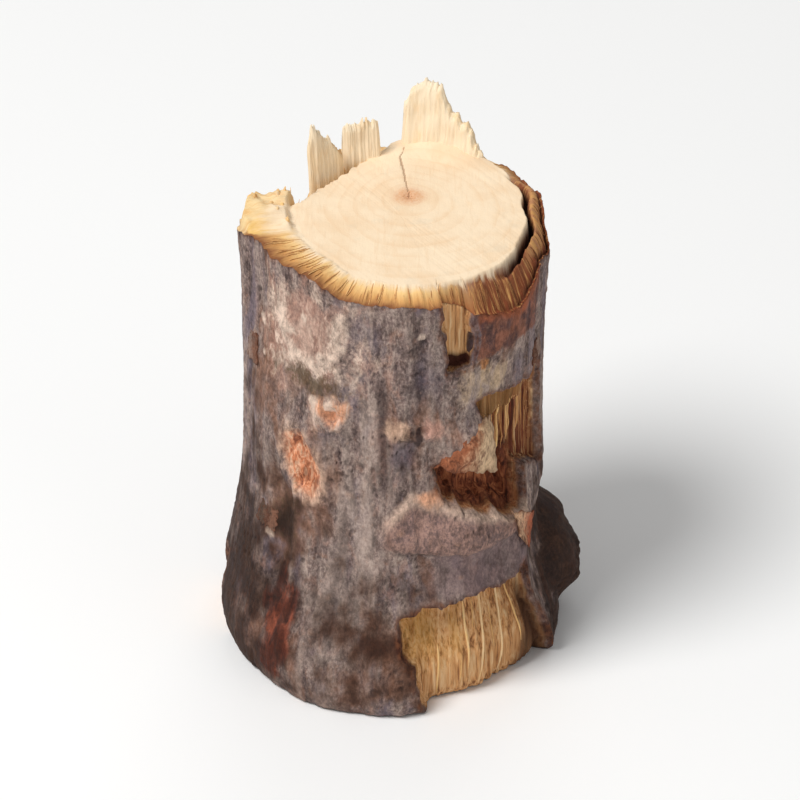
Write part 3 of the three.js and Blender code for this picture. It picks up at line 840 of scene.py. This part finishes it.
def cutSurface(angle, r, edgeRadius, edge):
    inset = edgeRadius - r
    x, y = r * degSin(angle), -r * degCos(angle)
    sawn = branch["barkHeight"] + cut["rise"] + cut["slope"] * (y + edgeRadius)
    discRadius = roundTheBranch(cut["discRadius"], angle) + 0.14 * layers(angle, r, 50, 0.2, 211, 3)
    gap = cut["gap"]
    calmInset = plainRadius(angle, edge) - r
    besideGap = smooth(hump(turnBetween(angle, gap["angle"]) / (gap["spread"] + 12)), 0, 0.4)
    discRadius = mixed(discRadius, np.minimum(discRadius, calmInset + r - gap["inset"] - 0.3), besideGap)
    bandWidth = edgeRadius - discRadius
    share = np.clip(inset / bandWidth, 0, 1)
    height = mixed(edge, sawn, 0.82 * smooth(share, 0, 1) + 0.18 * smooth(share, 0.9, 1))
    lost = cut["break"]["drop"] + cut["notch"]["drop"] * near(angle, cut["notch"])
    beyond = r * degCos(angle - cut["break"]["angle"]) - cut["break"]["distance"]
    beyond = beyond + 0.25 * layers(angle, r, 70, 0.1, 221, 2)
    broken = smooth(beyond, -0.25, 0.5)
    height = height - lost * broken * smooth(inset, 0, 2.5)
    block = cut["rimBlock"]
    standing = smooth(r, block["from"], block["from"] + 0.8) * smooth(inset, 0.2, 0.9)
    standing = standing * hump((turnBetween(angle, block["angle"]) / block["spread"]) ** 2)
    height = mixed(height, branch["barkHeight"] + block["level"], standing)
    ragged = 0.12 * layers(angle, r, 40, 0.1, 231, 2)
    groove = hump((calmInset - gap["inset"] + ragged) / gap["width"]) * near(angle, gap) ** 0.6
    height = height - gap["depth"] * groove
    outer, seam = cut["outerRing"], cut["seam"]
    ringed = hump((calmInset - outer["inset"]) / outer["width"]) * near(angle, outer)
    seamed = hump((inset - seam["inset"] + 0.5 * ragged) / seam["width"]) * near(angle, seam)
    height = height + outer["rise"] * ringed - seam["depth"] * seamed
    ramp = cut["ramp"]
    risen = smooth(r, ramp["from"], ramp["to"]) * smooth(inset, 0.4, 2.4)
    height = height + ramp["rise"] * risen * near(angle, ramp)
    fromPith = np.hypot(x - cut["pith"][0], y - cut["pith"][1])
    height = height - 0.3 * hump(fromPith / 0.9)
    crack = inCrack(x, y)
    height = height - crackPath["deep"] * crack

    # Torn fibres in the band and in the broken wood, and the saw's fine marks on the disc
    band = smooth(discRadius - r, 0.1, -0.25)
    torn = np.maximum(band * smooth(inset, 0, 0.6), broken)
    teeth = layers(angle, r, 190, 0.25, 241, 2)
    steps = layers(angle, r, 48, 0.35, 251, 3)
    calm = (1 - 0.8 * ringed) * (1 - 0.6 * standing)
    rough = np.maximum(0.45 + 0.55 * hump(turnBetween(angle, 70) / 80), broken)
    height = height + torn * calm * rough * (0.2 * teeth + 0.24 * steps)
    levels = 2.4 * layers(angle, r, 22, 0.16, 256, 2)
    slabs = (np.floor(levels) + smooth(levels % 1, 0.15, 0.85)) / 2.4
    height = height + standing * (slabs + 0.2 * layers(angle, r, 60, 0.3, 257, 2))
    alongSaw = (x * 0.82 + y * 0.57) * 1.6
    acrossSaw = (x * -0.57 + y * 0.82) * 0.12
    marks = noise(alongSaw, acrossSaw, 261, 256) + 0.6 * noise(alongSaw * 2.3, acrossSaw * 2, 262, 256)
    height = height + 0.03 * marks * (1 - torn)
    toward = np.degrees(np.arctan2(x - cut["pith"][0], -(y - cut["pith"][1])))
    reach = np.hypot(*(roundTheBranch(cut["discRadius"], toward) * f(toward) for f in (degSin, degCos)))
    pithPull = cut["pith"][0] * degSin(toward) - cut["pith"][1] * degCos(toward)
    masks = {
        "band": band,
        "bandShare": 1 - share,
        "broken": broken,
        # The groove, widened so that its painted shade also covers the wall beside it
        "groove": np.clip(2.2 * groove, 0, 1),
        "crackLine": crack,
        "growth": fromPith / np.maximum(reach - pithPull, 3),
        "pithSpot": hump(fromPith / 3.4),
        "redSide": hump(turnBetween(angle, 76) / 74) * band,
        "outerRing": ringed,
        "seam": seamed,
        "rimBlock": standing,
        "inset": inset,
        "around": np.radians(turnBetween(angle, 0)) * cut["bandRadius"],
    }
    return height, masks


cutFinish = {
    "wood": tint(247, 224, 192),
    "woodDeep": tint(236, 201, 160),
    "woodGrey": tint(222, 206, 180),
    "splitPale": tint(252, 234, 204),
    "pithStain": tint(214, 140, 84),
    "pithDark": tint(110, 56, 34),
    "crack": tint(158, 116, 84),
    "gold": tint(245, 203, 138),
    "tan": tint(218, 164, 100),
    "brown": tint(142, 90, 54),
    "red": tint(128, 62, 36),
    "pale": tint(240, 212, 162),
    "gap": tint(70, 36, 22),
    "ring": tint(186, 132, 92),
    "blockGold": tint(244, 202, 122),
    "bump": 0.12,
}
# Dark specks on the disc: x, y, size
specks = [(3.5, -13.8, 0.35), (6.2, 9.8, 0.4), (-4.6, 7.4, 0.3), (9.6, -3.2, 0.3)]
speckHeight = 58.6
cutRings = [(0, 0.34, 46), (0.36, 0.985, 26)]  # from the rim inwards: first share, last share, rings


def cutMaterial():
    material, wire, shader = newMaterial("sawn wood", 0.25)
    mask = wire.mask
    c = cutFinish
    growth = mask("growth") + (wire.noise(4.0, (1, 1, 0.2), 2.0) - 0.5) * 0.05
    ringed = wire.sum("FRACT", growth * 8.5)
    late = ringed.between(0.55, 0.95) * (1 - ringed.between(0.97, 1.0))
    saw = wire.noise(0.55, (1, 0.1, 1), 3.0, 0.6, 0.2, (0, 0, math.radians(-35)))
    cloud = wire.noise(5.0, (1, 1, 0.3), 3.0)
    fine = wire.noise(0.25, (1, 1, 1), 2.0, 0.6)
    face = Paint(wire.blend(cloud.between(0.4, 0.7) * 0.5, c["wood"], c["woodDeep"]), c)
    face.coat(late * cloud.between(0.3, 0.6) * 0.35, "woodDeep")
    face.coat(wire.noise(3.0, (1, 1, 0.3), 3.0).between(0.58, 0.75) * 0.3, "woodGrey")
    face.coat((saw - 0.5).between(0.04, 0.22) * 0.35, "woodDeep")
    stain = mask("pithSpot") * (fine + 0.35)
    face.coat(stain.between(0.05, 0.95) * 0.7, "pithStain")
    face.coat(stain.between(0.84, 1.05), "pithDark")
    where = wire.place()
    for x, y, size in specks:
        ends = {0: where, 1: (x, y, speckHeight)}
        apart = wire.make("ShaderNodeVectorMath", {"operation": "DISTANCE"}, ends, "Value")
        face.coat((1 - apart / (size * 2.2)).between(0, 0.7) * 0.6, "crack")
    face.coat(mask("crackLine").between(0.05, 0.5) * 0.65, "crack")

    # Inner bark: gold beside the wood, darker outwards, reddish on the right and pale on the far left
    outward = {0: mask("around"), 1: mask("inset") * 0.16, 2: 0.0}
    outward = wire.make("ShaderNodeCombineXYZ", None, outward)
    thread = wire.noiseAt(outward, 0.42, 4.0, 0.65, 0.3)
    tooth = wire.noiseAt(outward, 1.3, 3.0, 0.6, 0.4)
    share = mask("bandShare") + (tooth - 0.5) * 0.6 + (thread - 0.5) * 0.3
    band = Paint(share.ramp((0.02, c["wood"]), (0.34, c["gold"]), (0.66, c["tan"]), (0.98, c["brown"])), c)
    streaked = 0.2 + 0.5 * mask("redSide")
    band.coat(thread.between(0.5, 0.7) * streaked, "brown")
    reddened = (mask("redSide") * 2.2).clamped() * (share + tooth * 0.6 - 0.05).between(0.1, 0.4)
    band.coat(reddened * 0.95, wire.blend(thread.between(0.48, 0.68), c["red"], c["tan"]))
    ringTone = wire.blend(tooth.between(0.4, 0.65), c["ring"], c["tan"])
    band.coat(mask("outerRing").between(0.1, 0.6) * 0.85, ringTone)
    goldShare = (mask("bandShare") + (thread - 0.5) * 0.7).between(0.3, 0.95)
    blockTone = wire.blend(goldShare, c["wood"], c["blockGold"])
    blockTone = wire.blend(thread.between(0.54, 0.72) * 0.35, blockTone, c["tan"])
    band.coat(mask("rimBlock").between(0.1, 0.5) * 0.85, blockTone)
    face.coat(mask("band"), band.colour)
    raw = wire.blend(thread.between(0.4, 0.65) * 0.6, c["pale"], c["tan"])
    face.coat(mask("broken") * 0.8, raw)
    # Painted shade in the deep gap and on its inner wall
    face.coat(mask("groove"), "gap")
    face.coat((mask("seam") * 1.5).clamped() * 0.9, "gap")
    roughness = 0.72 + 0.15 * fine
    relief = fine * 0.3 + saw * 0.3 + mask("band") * thread * 0.7
    finishWith(wire, shader, face, roughness, relief, cutFinish["bump"])
    return material


def makeUpperCut():
    angle = np.arange(columns) * 360 / columns
    edge = edgeHeight(angle)
    edgeRadius = barkSurface(angle[None], edge[None])[0][0]
    share = np.concatenate([np.linspace(*span) for span in cutRings])[:, None]
    r = edgeRadius * (1 - share)
    around = np.broadcast_to(angle, r.shape)
    height, masks = cutSurface(around, r, edgeRadius, edge)
    height[0] = edge
    top = onBranch(around, r, height)
    deep = onBranch(angle, edgeRadius - 3, edge - 6)[None]
    masks = {key: np.concatenate([value[:1], value]) for key, value in masks.items()}
    middle = (0, 0, height[-1].mean())
    ringMesh("upper_cut", np.concatenate([deep, top]), (0, 0, 42), middle, masks, cutMaterial())


makeUpperCut()
print("upper cut made")

# Splinters left standing at the far rim, each by its outline from its left edge, over the disc
splinters = {
    "hinge": {
        "angle": 160.5, "radius": 16.2, "thick": 2.3, "tilt": 4, "seed": 1,
        "outline": [(-5.2, 1.3), (-5, 6.5), (-4.1, 8), (-2.9, 9.5), (-1.5, 9), (-0.4, 8.8),
                    (0.5, 6.3), (1.7, 5.1), (3.2, 4.4), (4.1, 2.3), (5.3, 1.2)],
    },
    "block": {
        "angle": 199, "radius": 14.4, "thick": 1.7, "tilt": 2, "seed": 2,
        "outline": [(-2.6, 0.9), (-2.5, 4.5), (-1.8, 5.3), (-0.7, 4.9), (0.6, 5.3), (2.1, 5.1), (2.4, 0.9)],
    },
    "blade": {
        "angle": 221.5, "radius": 13.4, "thick": 1.4, "tilt": 3, "seed": 3,
        "outline": [(-3, -0.1), (-2.9, 5.6), (-2.4, 7.7), (-1.9, 7.2), (-0.9, 6), (0, 5), (0.8, 4),
                    (1.6, 2.9), (2.3, 1.9), (2.4, 0.2)],
    },
}
splinterShape = {"root": 7, "thinning": 0.6, "across": 96, "up": 60}


def splinterMaterial():
    material, wire, shader = newMaterial("split wood", 0.25)
    mask = wire.mask
    c = cutFinish
    thread = wire.noise(0.5, (1, 1, 0.07), 4.0, 0.65, 0.3)
    patch = wire.noise(2.5, (1, 1, 0.4), 3.0)
    split = Paint(wire.blend(thread.between(0.5, 0.72) * 0.35, c["splitPale"], c["woodDeep"]), c)
    split.coat(patch.between(0.54, 0.7) * 0.3, "gold")
    split.coat(mask("tip") * (thread + 0.2).between(0.5, 0.85) * 0.5, "gold")
    split.coat((mask("tip") * patch).between(0.46, 0.62) * 0.7, "tan")
    finishWith(wire, shader, split, 0.7 + 0.2 * thread, thread, cutFinish["bump"])
    return material


def makeSplinter(name, spec, material):
    px, py = np.array(spec["outline"], float).T
    x = np.linspace(px[0], px[-1], splinterShape["across"])
    rng = np.random.default_rng(300 + spec["seed"])
    fibreSteps = rng.uniform(-0.4, 0.35, 80)[((x - px[0]) / 0.28).astype(int)]
    teeth = 0.5 * noise(x * 1.4 + 20, 0 * x, 310 + spec["seed"], 256) + fibreSteps
    top = np.interp(x, px, py) + teeth * smooth(np.interp(x, px, py), 0.2, 2)
    up = np.linspace(0, 1, splinterShape["up"])[:, None]
    y = -splinterShape["root"] + up * (top + splinterShape["root"])
    tallest = py.max()
    share = np.clip(y / tallest, 0, 1)
    thinned = 1 - splinterShape["thinning"] * share
    side = np.abs(np.linspace(-1, 1, splinterShape["across"]))
    rounded = 0.25 + 0.75 * (1 - side**6)
    nearTop = 0.35 + 0.65 * smooth(top - y, 0, 0.8)
    half = spec["thick"] / 2 * thinned * rounded * nearTop
    bent = x * x / (2 * spec["radius"]) + 0 * y
    grainFront = 0.16 * noise(x * 1.8 + 0 * y, y * 0.12 + 9, 320 + spec["seed"], 256)
    grainFront += 0.08 * noise(x * 4.2 + 0 * y, y * 0.3 + 9, 330 + spec["seed"], 256)
    grainBack = 0.2 * noise(x * 1.6 + 0 * y, y * 0.14 + 60, 340 + spec["seed"], 256)
    lean = 0.25 * noise(x * 0.5 + 0 * y, y * 0.3 + 30, 350 + spec["seed"], 256) * smooth(y, 0, 4)
    tilt, turn = math.radians(spec["tilt"]), math.radians(spec["angle"] - 180)
    flat = branch["barkHeight"] + cut["rise"]

    def placed(z):
        across, out = x + 0 * y, y * math.sin(tilt) - z * math.cos(tilt)
        high = y * math.cos(tilt) + z * math.sin(tilt)
        placeX = across * math.cos(turn) - out * math.sin(turn) + spec["radius"] * degSin(spec["angle"])
        placeY = across * math.sin(turn) + out * math.cos(turn) - spec["radius"] * degCos(spec["angle"])
        return np.stack([placeX, placeY, high + flat], -1)

    front = placed(bent + half + grainFront + lean)
    back = placed(bent - half - grainBack * 0.5 + lean)
    tip = smooth(y - np.interp(x, px, py) + 1.6, 0, 1.6) * smooth(x, px.mean() - 1, px.mean() + 1.5)
    slabMesh(f"splinter_{name}", front, back, {"tip": tip}, material)


splitWood = splinterMaterial()
for name, spec in splinters.items():
    makeSplinter(name, spec, splitWood)
print("splinters made")

# Slivers are thin tapered threads of wood. Many of them make one piece
def newBundle():
    return {"points": [], "faces": [], "tone": []}


sliverSides = 6


def addSliver(bundle, path, wide, thick, sideways, tone):
    along = np.gradient(path, axis=0)
    along /= np.linalg.norm(along, axis=1)[:, None]
    side = sideways - (sideways * along).sum(1)[:, None] * along
    side /= np.linalg.norm(side, axis=1)[:, None]
    up = np.cross(along, side)
    turn = np.arange(sliverSides) * 2 * np.pi / sliverSides
    ring = side[:, None] * (wide[:, None] * np.cos(turn))[..., None]
    ring = path[:, None] + ring + up[:, None] * (thick[:, None] * np.sin(turn))[..., None]
    start, count = len(bundle["points"]), len(path)
    bundle["points"] += ring.reshape(-1, 3).tolist()
    bundle["tone"] += [tone] * (count * sliverSides)
    for i in range(count - 1):
        for k in range(sliverSides):
            a, b = start + i * sliverSides + k, start + i * sliverSides + (k + 1) % sliverSides
            bundle["faces"].append((a, b, b + sliverSides, a + sliverSides))
    bundle["faces"].append(tuple(start + k for k in reversed(range(sliverSides))))
    bundle["faces"].append(tuple(start + (count - 1) * sliverSides + k for k in range(sliverSides)))


def bundlePiece(name, bundle, material):
    solid(name, np.array(bundle["points"]), bundle["faces"], material, {"tone": bundle["tone"]})


sliverFinish = {
    "dark": tint(112, 66, 40),
    "tan": tint(198, 140, 88),
    "gold": tint(238, 194, 130),
    "pale": tint(248, 218, 176),
    "bump": 0.08,
}


def sliverMaterial():
    material, wire, shader = newMaterial("torn fibres", 0.2)
    c = sliverFinish
    grain = wire.noise(0.3, (1, 1, 0.3), 3.0, 0.6)
    tone = wire.mask("tone") + (grain - 0.5) * 0.5
    thread = Paint(tone.ramp((0.0, c["dark"]), (0.35, c["tan"]), (0.65, c["gold"]), (1.0, c["pale"])), c)
    finishWith(wire, shader, thread, 0.7 + 0.2 * grain, grain, sliverFinish["bump"])
    return material


# Threads that lie on a bare place of the bark: lowest and highest end, half width and tone of each
strands = {
    "chip_strands": [
        # angle and height of the upper end, of the lower end, half width, tone
        (24.2, 13.2, 24, 4, 0.14, 0.72),
        (32.7, 14, 28.7, 1.1, 0.17, 0.82),
        (41.8, 13.5, 38.4, 0.6, 0.17, 0.86),
        (46, 12.6, 48, 4.5, 0.13, 0.64),
        (13.5, 7.9, 13, 0.8, 0.12, 0.68),
        (18.6, 11.5, 18, 7, 0.08, 0.5),
        (28, 12.8, 27, 8.5, 0.08, 0.55),
        (37, 10.4, 36, 5, 0.08, 0.6),
        (21.5, 6.5, 21, 2.4, 0.09, 0.55),
    ],
    "window_strands": [
        (44, 38.4, 46.5, 29.5, 0.2, 0.6),
        (50, 38.6, 51.5, 32, 0.17, 0.5),
        (54.5, 38, 52.5, 33.2, 0.14, 0.48),
        (60.5, 38, 61.5, 31, 0.16, 0.45),
        (66, 38, 66, 29, 0.14, 0.3),
        (41.5, 37.5, 43, 33, 0.11, 0.35),
        (57, 36, 57.5, 29, 0.11, 0.25),
        (63.5, 37, 64, 32, 0.1, 0.4),
        (69, 37.5, 69.5, 31, 0.12, 0.35),
        (71.5, 36, 72, 29, 0.12, 0.25),
        (47.5, 36.5, 49, 31, 0.1, 0.3),
    ],
}


def makeStrands(name, rows, material):
    bundle = newBundle()
    for k, (upAngle, upHeight, lowAngle, lowHeight, wide, tone) in enumerate(rows):
        share = np.linspace(0, 1, 36)
        z = mixed(upHeight, lowHeight, share)
        angle = mixed(upAngle, lowAngle, share) + 0.5 * noise(z * 0.22 + 7, z * 0 + k, 401, 256)
        radius = barkSurface(angle, z)[0]
        radius = np.convolve(np.pad(radius, 3, mode="edge"), np.ones(7) / 7, "valid") + 0.06
        taper = 0.25 + 0.75 * smooth(share, 0, 0.12) * smooth(1 - share, 0, 0.25)
        wave = 1 + 0.25 * noise(z * 0.5, z * 0 + k + 0.5, 402, 256)
        sideways = onBranch(angle + 90, np.ones_like(z), 0 * z)
        path = onBranch(angle, radius, z)
        addSliver(bundle, path, wide * taper * wave, 0.85 * wide * taper, sideways, tone)
    bundlePiece(name, bundle, material)


# Torn fibres round the upper cut: lying out across the band, and standing on the broken wood
tornFibres = {
    "seed": 17,
    "band": {"count": 150, "wide": (0.04, 0.1)},
    "block": {"count": 22, "angles": (248, 286), "tall": (0.2, 0.6), "wide": (0.25, 0.5),
              "on": "rimBlock", "least": 0.4},
    "broken": {"count": 90, "angles": (196, 250), "tall": (0.6, 2.2), "wide": (0.14, 0.4),
               "on": "broken", "least": 0.8},
}


def makeTornFibres(material):
    rng = np.random.default_rng(tornFibres["seed"])
    bundle = newBundle()
    degrees = np.arange(-180, 181, 0.5)
    edgeRadii = barkSurface(degrees, edgeHeight(degrees))[0]

    def edgeOf(angle):
        return np.interp(turnBetween(angle, 0), degrees, edgeRadii)

    spec = tornFibres["band"]
    for _ in range(spec["count"]):
        at = rng.uniform(-75, 112) if rng.random() < 0.7 else rng.uniform(0, 360)
        length = rng.uniform(0.25, 0.8)
        outer = rng.uniform(-0.02, 1 - length)
        share = np.linspace(outer, outer + length, 9)
        angle = at + rng.uniform(-2, 2) * (share - outer)
        edgeRadius = edgeOf(angle)
        band = edgeRadius - roundTheBranch(cut["discRadius"], angle)
        r = edgeRadius - band * share
        height, masks = cutSurface(angle, r, edgeRadius, edgeHeight(angle))
        if masks["broken"].max() > 0.1 or masks["groove"].max() > 0.2 or masks["rimBlock"].max() > 0.3:
            continue
        lift = 0.03 + rng.uniform(0, 0.14) * (1 - (share - outer) / length) ** 2
        ends = np.linspace(0, 1, 9)
        wide = rng.uniform(*spec["wide"]) * (0.2 + 0.8 * np.sin(np.pi * ends) ** 0.6)
        right = float(hump(turnBetween(at, 62) / 62))
        tone = rng.uniform(0.5, 0.8) - right * rng.uniform(0.4, 0.9) - 0.3 * (1 - outer - length / 2)
        sideways = onBranch(angle + 90, np.ones_like(r), 0 * r)
        path = onBranch(angle, r, height + lift)
        addSliver(bundle, path, wide, 0.6 * wide, sideways, float(np.clip(tone, 0, 1)))
    for kind in ("block", "broken"):
        spec = tornFibres[kind]
        for _ in range(spec["count"]):
            at = np.full(1, rng.uniform(*spec["angles"]))
            edgeRadius = edgeOf(at)
            r = rng.uniform(11.6, edgeRadius[0] - 0.3)
            height, masks = cutSurface(at, np.full(1, r), edgeRadius, edgeHeight(at))
            if masks[spec["on"]][0] < spec["least"]:
                continue
            tall = rng.uniform(*spec["tall"])
            up = np.linspace(-0.4, tall, 8)
            leanOut, leanRound = rng.uniform(-0.25, 0.3), rng.uniform(-0.2, 0.2)
            reach = np.clip(up, 0, None)
            path = onBranch(at[0] + np.degrees(leanRound * reach / r), r + leanOut * reach, height[0] + up)
            wide = rng.uniform(*spec["wide"]) * (1 - 0.85 * np.clip(up / tall, 0, 1) ** 1.5)
            sideways = onBranch(at[0] + 90 + rng.uniform(-40, 40) + 0 * up, np.ones_like(up), 0 * up)
            addSliver(bundle, path, wide, 0.55 * wide, sideways, rng.uniform(0.5, 1))
    bundlePiece("torn_fibres", bundle, material)


fibres = sliverMaterial()
for name, rows in strands.items():
    makeStrands(name, rows, fibres)
makeTornFibres(fibres)
print("strands and torn fibres made")

# Scales of bark that have come loose on one side and stand off the branch
scaleShape = {"thick": 0.35, "wander": 0.4, "dished": 0.1}
scales = {
    # corners from the lower left, anticlockwise as angle and height, and how far each stands off;
    # thickness, wander of the outline and dishing where they differ from the others
    "flap_over_hollow": {
        "corners": [(12.5, 33), (38.5, 30.6), (36.5, 38.6), (24, 37.4)], "lift": (0.3, 0.9, 0.2, -0.2),
        "thick": 0.55, "wander": 0.5, "dished": 0.3, "tones": ("flapLeft", "flapRight"), "seed": 1,
    },
    "curled_flake": {
        "corners": [(47.5, 19.8), (54.5, 16.8), (62.5, 20.4), (42, 24.8)], "lift": (1.0, 0.5, 0.4, 1.2),
        "thick": 0.4, "wander": 0.45, "dished": -0.35, "tones": ("flakePale", "flakeRed"), "seed": 2,
    },
    "loose_scale_left": {
        "corners": [(-76, 40.6), (-66, 41), (-67, 45), (-75, 44.4)], "lift": (0.2, 0.35, 0.3, 0.1),
        "tones": ("scaleGrey", "scaleBrown"), "seed": 3,
    },
    "loose_scale_low": {
        "corners": [(-60, 20.6), (-50, 20.2), (-49, 23), (-58, 23.6)], "lift": (0.35, 0.2, 0.05, 0.2),
        "tones": ("scaleDark", "scaleBrown"), "seed": 4,
    },
    "loose_scale_right": {
        "corners": [(64, 41), (74, 41.6), (73, 44.2), (65, 43.4)], "lift": (0.3, 0.4, 0.1, 0.1),
        "tones": ("scaleBrown", "scaleGrey"), "seed": 5,
    },
    "loose_scale_back": {
        "corners": [(236, 40.4), (248, 41.6), (245, 46), (238, 45)], "lift": (0.5, 0.3, 0.1, 0.2),
        "thick": 0.4, "wander": 0.5, "tones": ("scaleGrey", "scaleBrown"), "seed": 6,
    },
}
scaleFinish = {
    "flapLeft": tint(164, 98, 66),
    "flapRight": tint(212, 180, 144),
    "flakeRed": tint(168, 92, 62),
    "flakePale": tint(220, 176, 140),
    "scaleGrey": tint(150, 128, 116),
    "scaleBrown": tint(122, 86, 68),
    "scaleDark": tint(86, 66, 54),
    "dark": tint(92, 52, 36),
    "points": {"across": 66, "up": 46},
    "bump": 0.15,
}


def scaleMaterial(name, tones):
    material, wire, shader = newMaterial(name, 0.25)
    mask = wire.mask
    left, right = (scaleFinish[tone] for tone in tones)
    mottle = wire.noise(1.2, (1, 1, 0.7), 4.0, 0.65, 0.6)
    grain = wire.noise(0.35, (1, 1, 0.4), 3.0, 0.65)
    across = (mask("across") + (mottle - 0.5) * 1.1).between(0.2, 0.8)
    scale = Paint(wire.blend(across, left, right), scaleFinish)
    scale.coat(grain.between(0.5, 0.66) * 0.5, "dark")
    veins = wire.noise(1.6, (1, 1, 0.5), 4.0, 0.7, 1.2)
    scale.coat((veins.between(0.5, 0.62) * (1.5 - across)).clamped() * 0.65, "dark")
    scale.coat(mask("margin") * (mottle + 0.2).between(0.5, 0.8) * 0.7, "dark")
    scale.colour = scale.colour.lit(0.8 + 0.4 * mottle.between(0.36, 0.64))
    finishWith(wire, shader, scale, 0.68 + 0.2 * grain, grain + mottle * 0.6, scaleFinish["bump"])
    return material


def makeScale(name, spec):
    across, up = scaleFinish["points"]["across"], scaleFinish["points"]["up"]
    u, v = np.meshgrid(np.linspace(0, 1, across), np.linspace(0, 1, up))
    weights = ((1 - u) * (1 - v), u * (1 - v), u * v, (1 - u) * v)
    angle = sum(w * corner[0] for w, corner in zip(weights, spec["corners"]))
    z = sum(w * corner[1] for w, corner in zip(weights, spec["corners"]))
    seed = 500 + spec["seed"] * 10
    nearSide = 1 - 4 * u * (1 - u)
    nearEnd = 1 - 4 * v * (1 - v)
    angle = angle + 2.4 * spec["wander"] * nearSide * noise(v * 4 + 3, u * 2, seed, 64)
    ragged = noise(u * 5, v * 2, seed + 1, 64) + 0.6 * noise(u * 13, v * 2, seed + 2, 64)
    z = z + spec["wander"] * nearEnd * ragged
    lift = sum(w * rise for w, rise in zip(weights, spec["lift"]))
    bowl = spec["dished"] * (1 - (2 * u - 1) ** 2) * (1 - (2 * v - 1) ** 2)
    bump = 0.1 * noise(u * 8, v * 6, seed + 3, 64) + 0.06 * noise(u * 19, v * 13, seed + 4, 64)
    outer = plainRadius(angle, z) + lift + bowl + bump
    rounded = np.clip(1 - np.maximum(np.abs(2 * u - 1), np.abs(2 * v - 1)) ** 10, 0.12, 1)
    inner = outer - spec["thick"] * rounded - 0.1
    masks = {"across": u, "margin": np.maximum(nearSide, nearEnd) ** 6}
    material = scaleMaterial(name.replace("_", " "), spec["tones"])
    slabMesh(name, onBranch(angle, outer, z), onBranch(angle, inner, z), masks, material)


for name, spec in scales.items():
    makeScale(name, {**scaleShape, **spec})
print("loose scales made")

# The camera stands where the photograph was taken from, and comes closer
cameraView = {"elevation": 33, "distance": 0.75, "lens": 275, "target": (0, 0, 0.031)}


def makeCamera():
    data = bpy.data.cameras.new("camera")
    data.lens = cameraView["lens"]
    camera = bpy.data.objects.new("camera", data)
    up = math.radians(cameraView["elevation"])
    x, y, z = cameraView["target"]
    far = cameraView["distance"]
    camera.location = (x, y - far * math.cos(up), z + far * math.sin(up))
    camera.rotation_euler = (math.pi / 2 - up, 0, 0)
    bpy.context.scene.collection.objects.link(camera)
    bpy.context.scene.camera = camera


makeCamera()

# A pale floor, a pale room and three soft lights
studio = {
    "floor": tint(252, 252, 251),
    "floorHalf": 3.0,
    "room": (1.0, 1.0, 1.0, 1.0),
    "roomStrength": 0.3,
    "lights": [
        # place, size, power
        ("key", (-0.42, -0.3, 0.78), 0.42, 6.6),
        ("fill", (0.6, -0.5, 0.35), 0.6, 0.6),
        ("back", (0.1, 0.7, 0.6), 0.6, 1.2),
    ],
}


def makeStudio():
    mesh = bpy.data.meshes.new("floor")
    half = studio["floorHalf"]
    corners = [(-half, -half, 0), (half, -half, 0), (half, half, 0), (-half, half, 0)]
    mesh.from_pydata(corners, [], [(0, 1, 2, 3)])
    floor = bpy.data.objects.new("floor", mesh)
    material, _, shader = newMaterial("pale floor", 0.2)
    shader.inputs["Base Color"].default_value = studio["floor"]
    shader.inputs["Roughness"].default_value = 0.8
    mesh.materials.append(material)
    bpy.context.scene.collection.objects.link(floor)

    world = bpy.data.worlds.new("room")
    world.use_nodes = True
    room = world.node_tree.nodes["Background"]
    room.inputs["Color"].default_value = studio["room"]
    room.inputs["Strength"].default_value = studio["roomStrength"]
    bpy.context.scene.world = world
    for name, place, size, power in studio["lights"]:
        lamp = bpy.data.lights.new(name, "AREA")
        lamp.shape = "DISK"
        lamp.size = size
        lamp.energy = power
        light = bpy.data.objects.new(name, lamp)
        light.location = place
        aim = -np.array(place) + (0, 0, 0.03)
        tip = math.atan2(math.hypot(aim[0], aim[1]), -aim[2])
        light.rotation_euler = (tip, 0, math.atan2(-aim[0], aim[1]))
        bpy.context.scene.collection.objects.link(light)
    bpy.context.scene.view_settings.view_transform = "Standard"


makeStudio()
print("studio made")
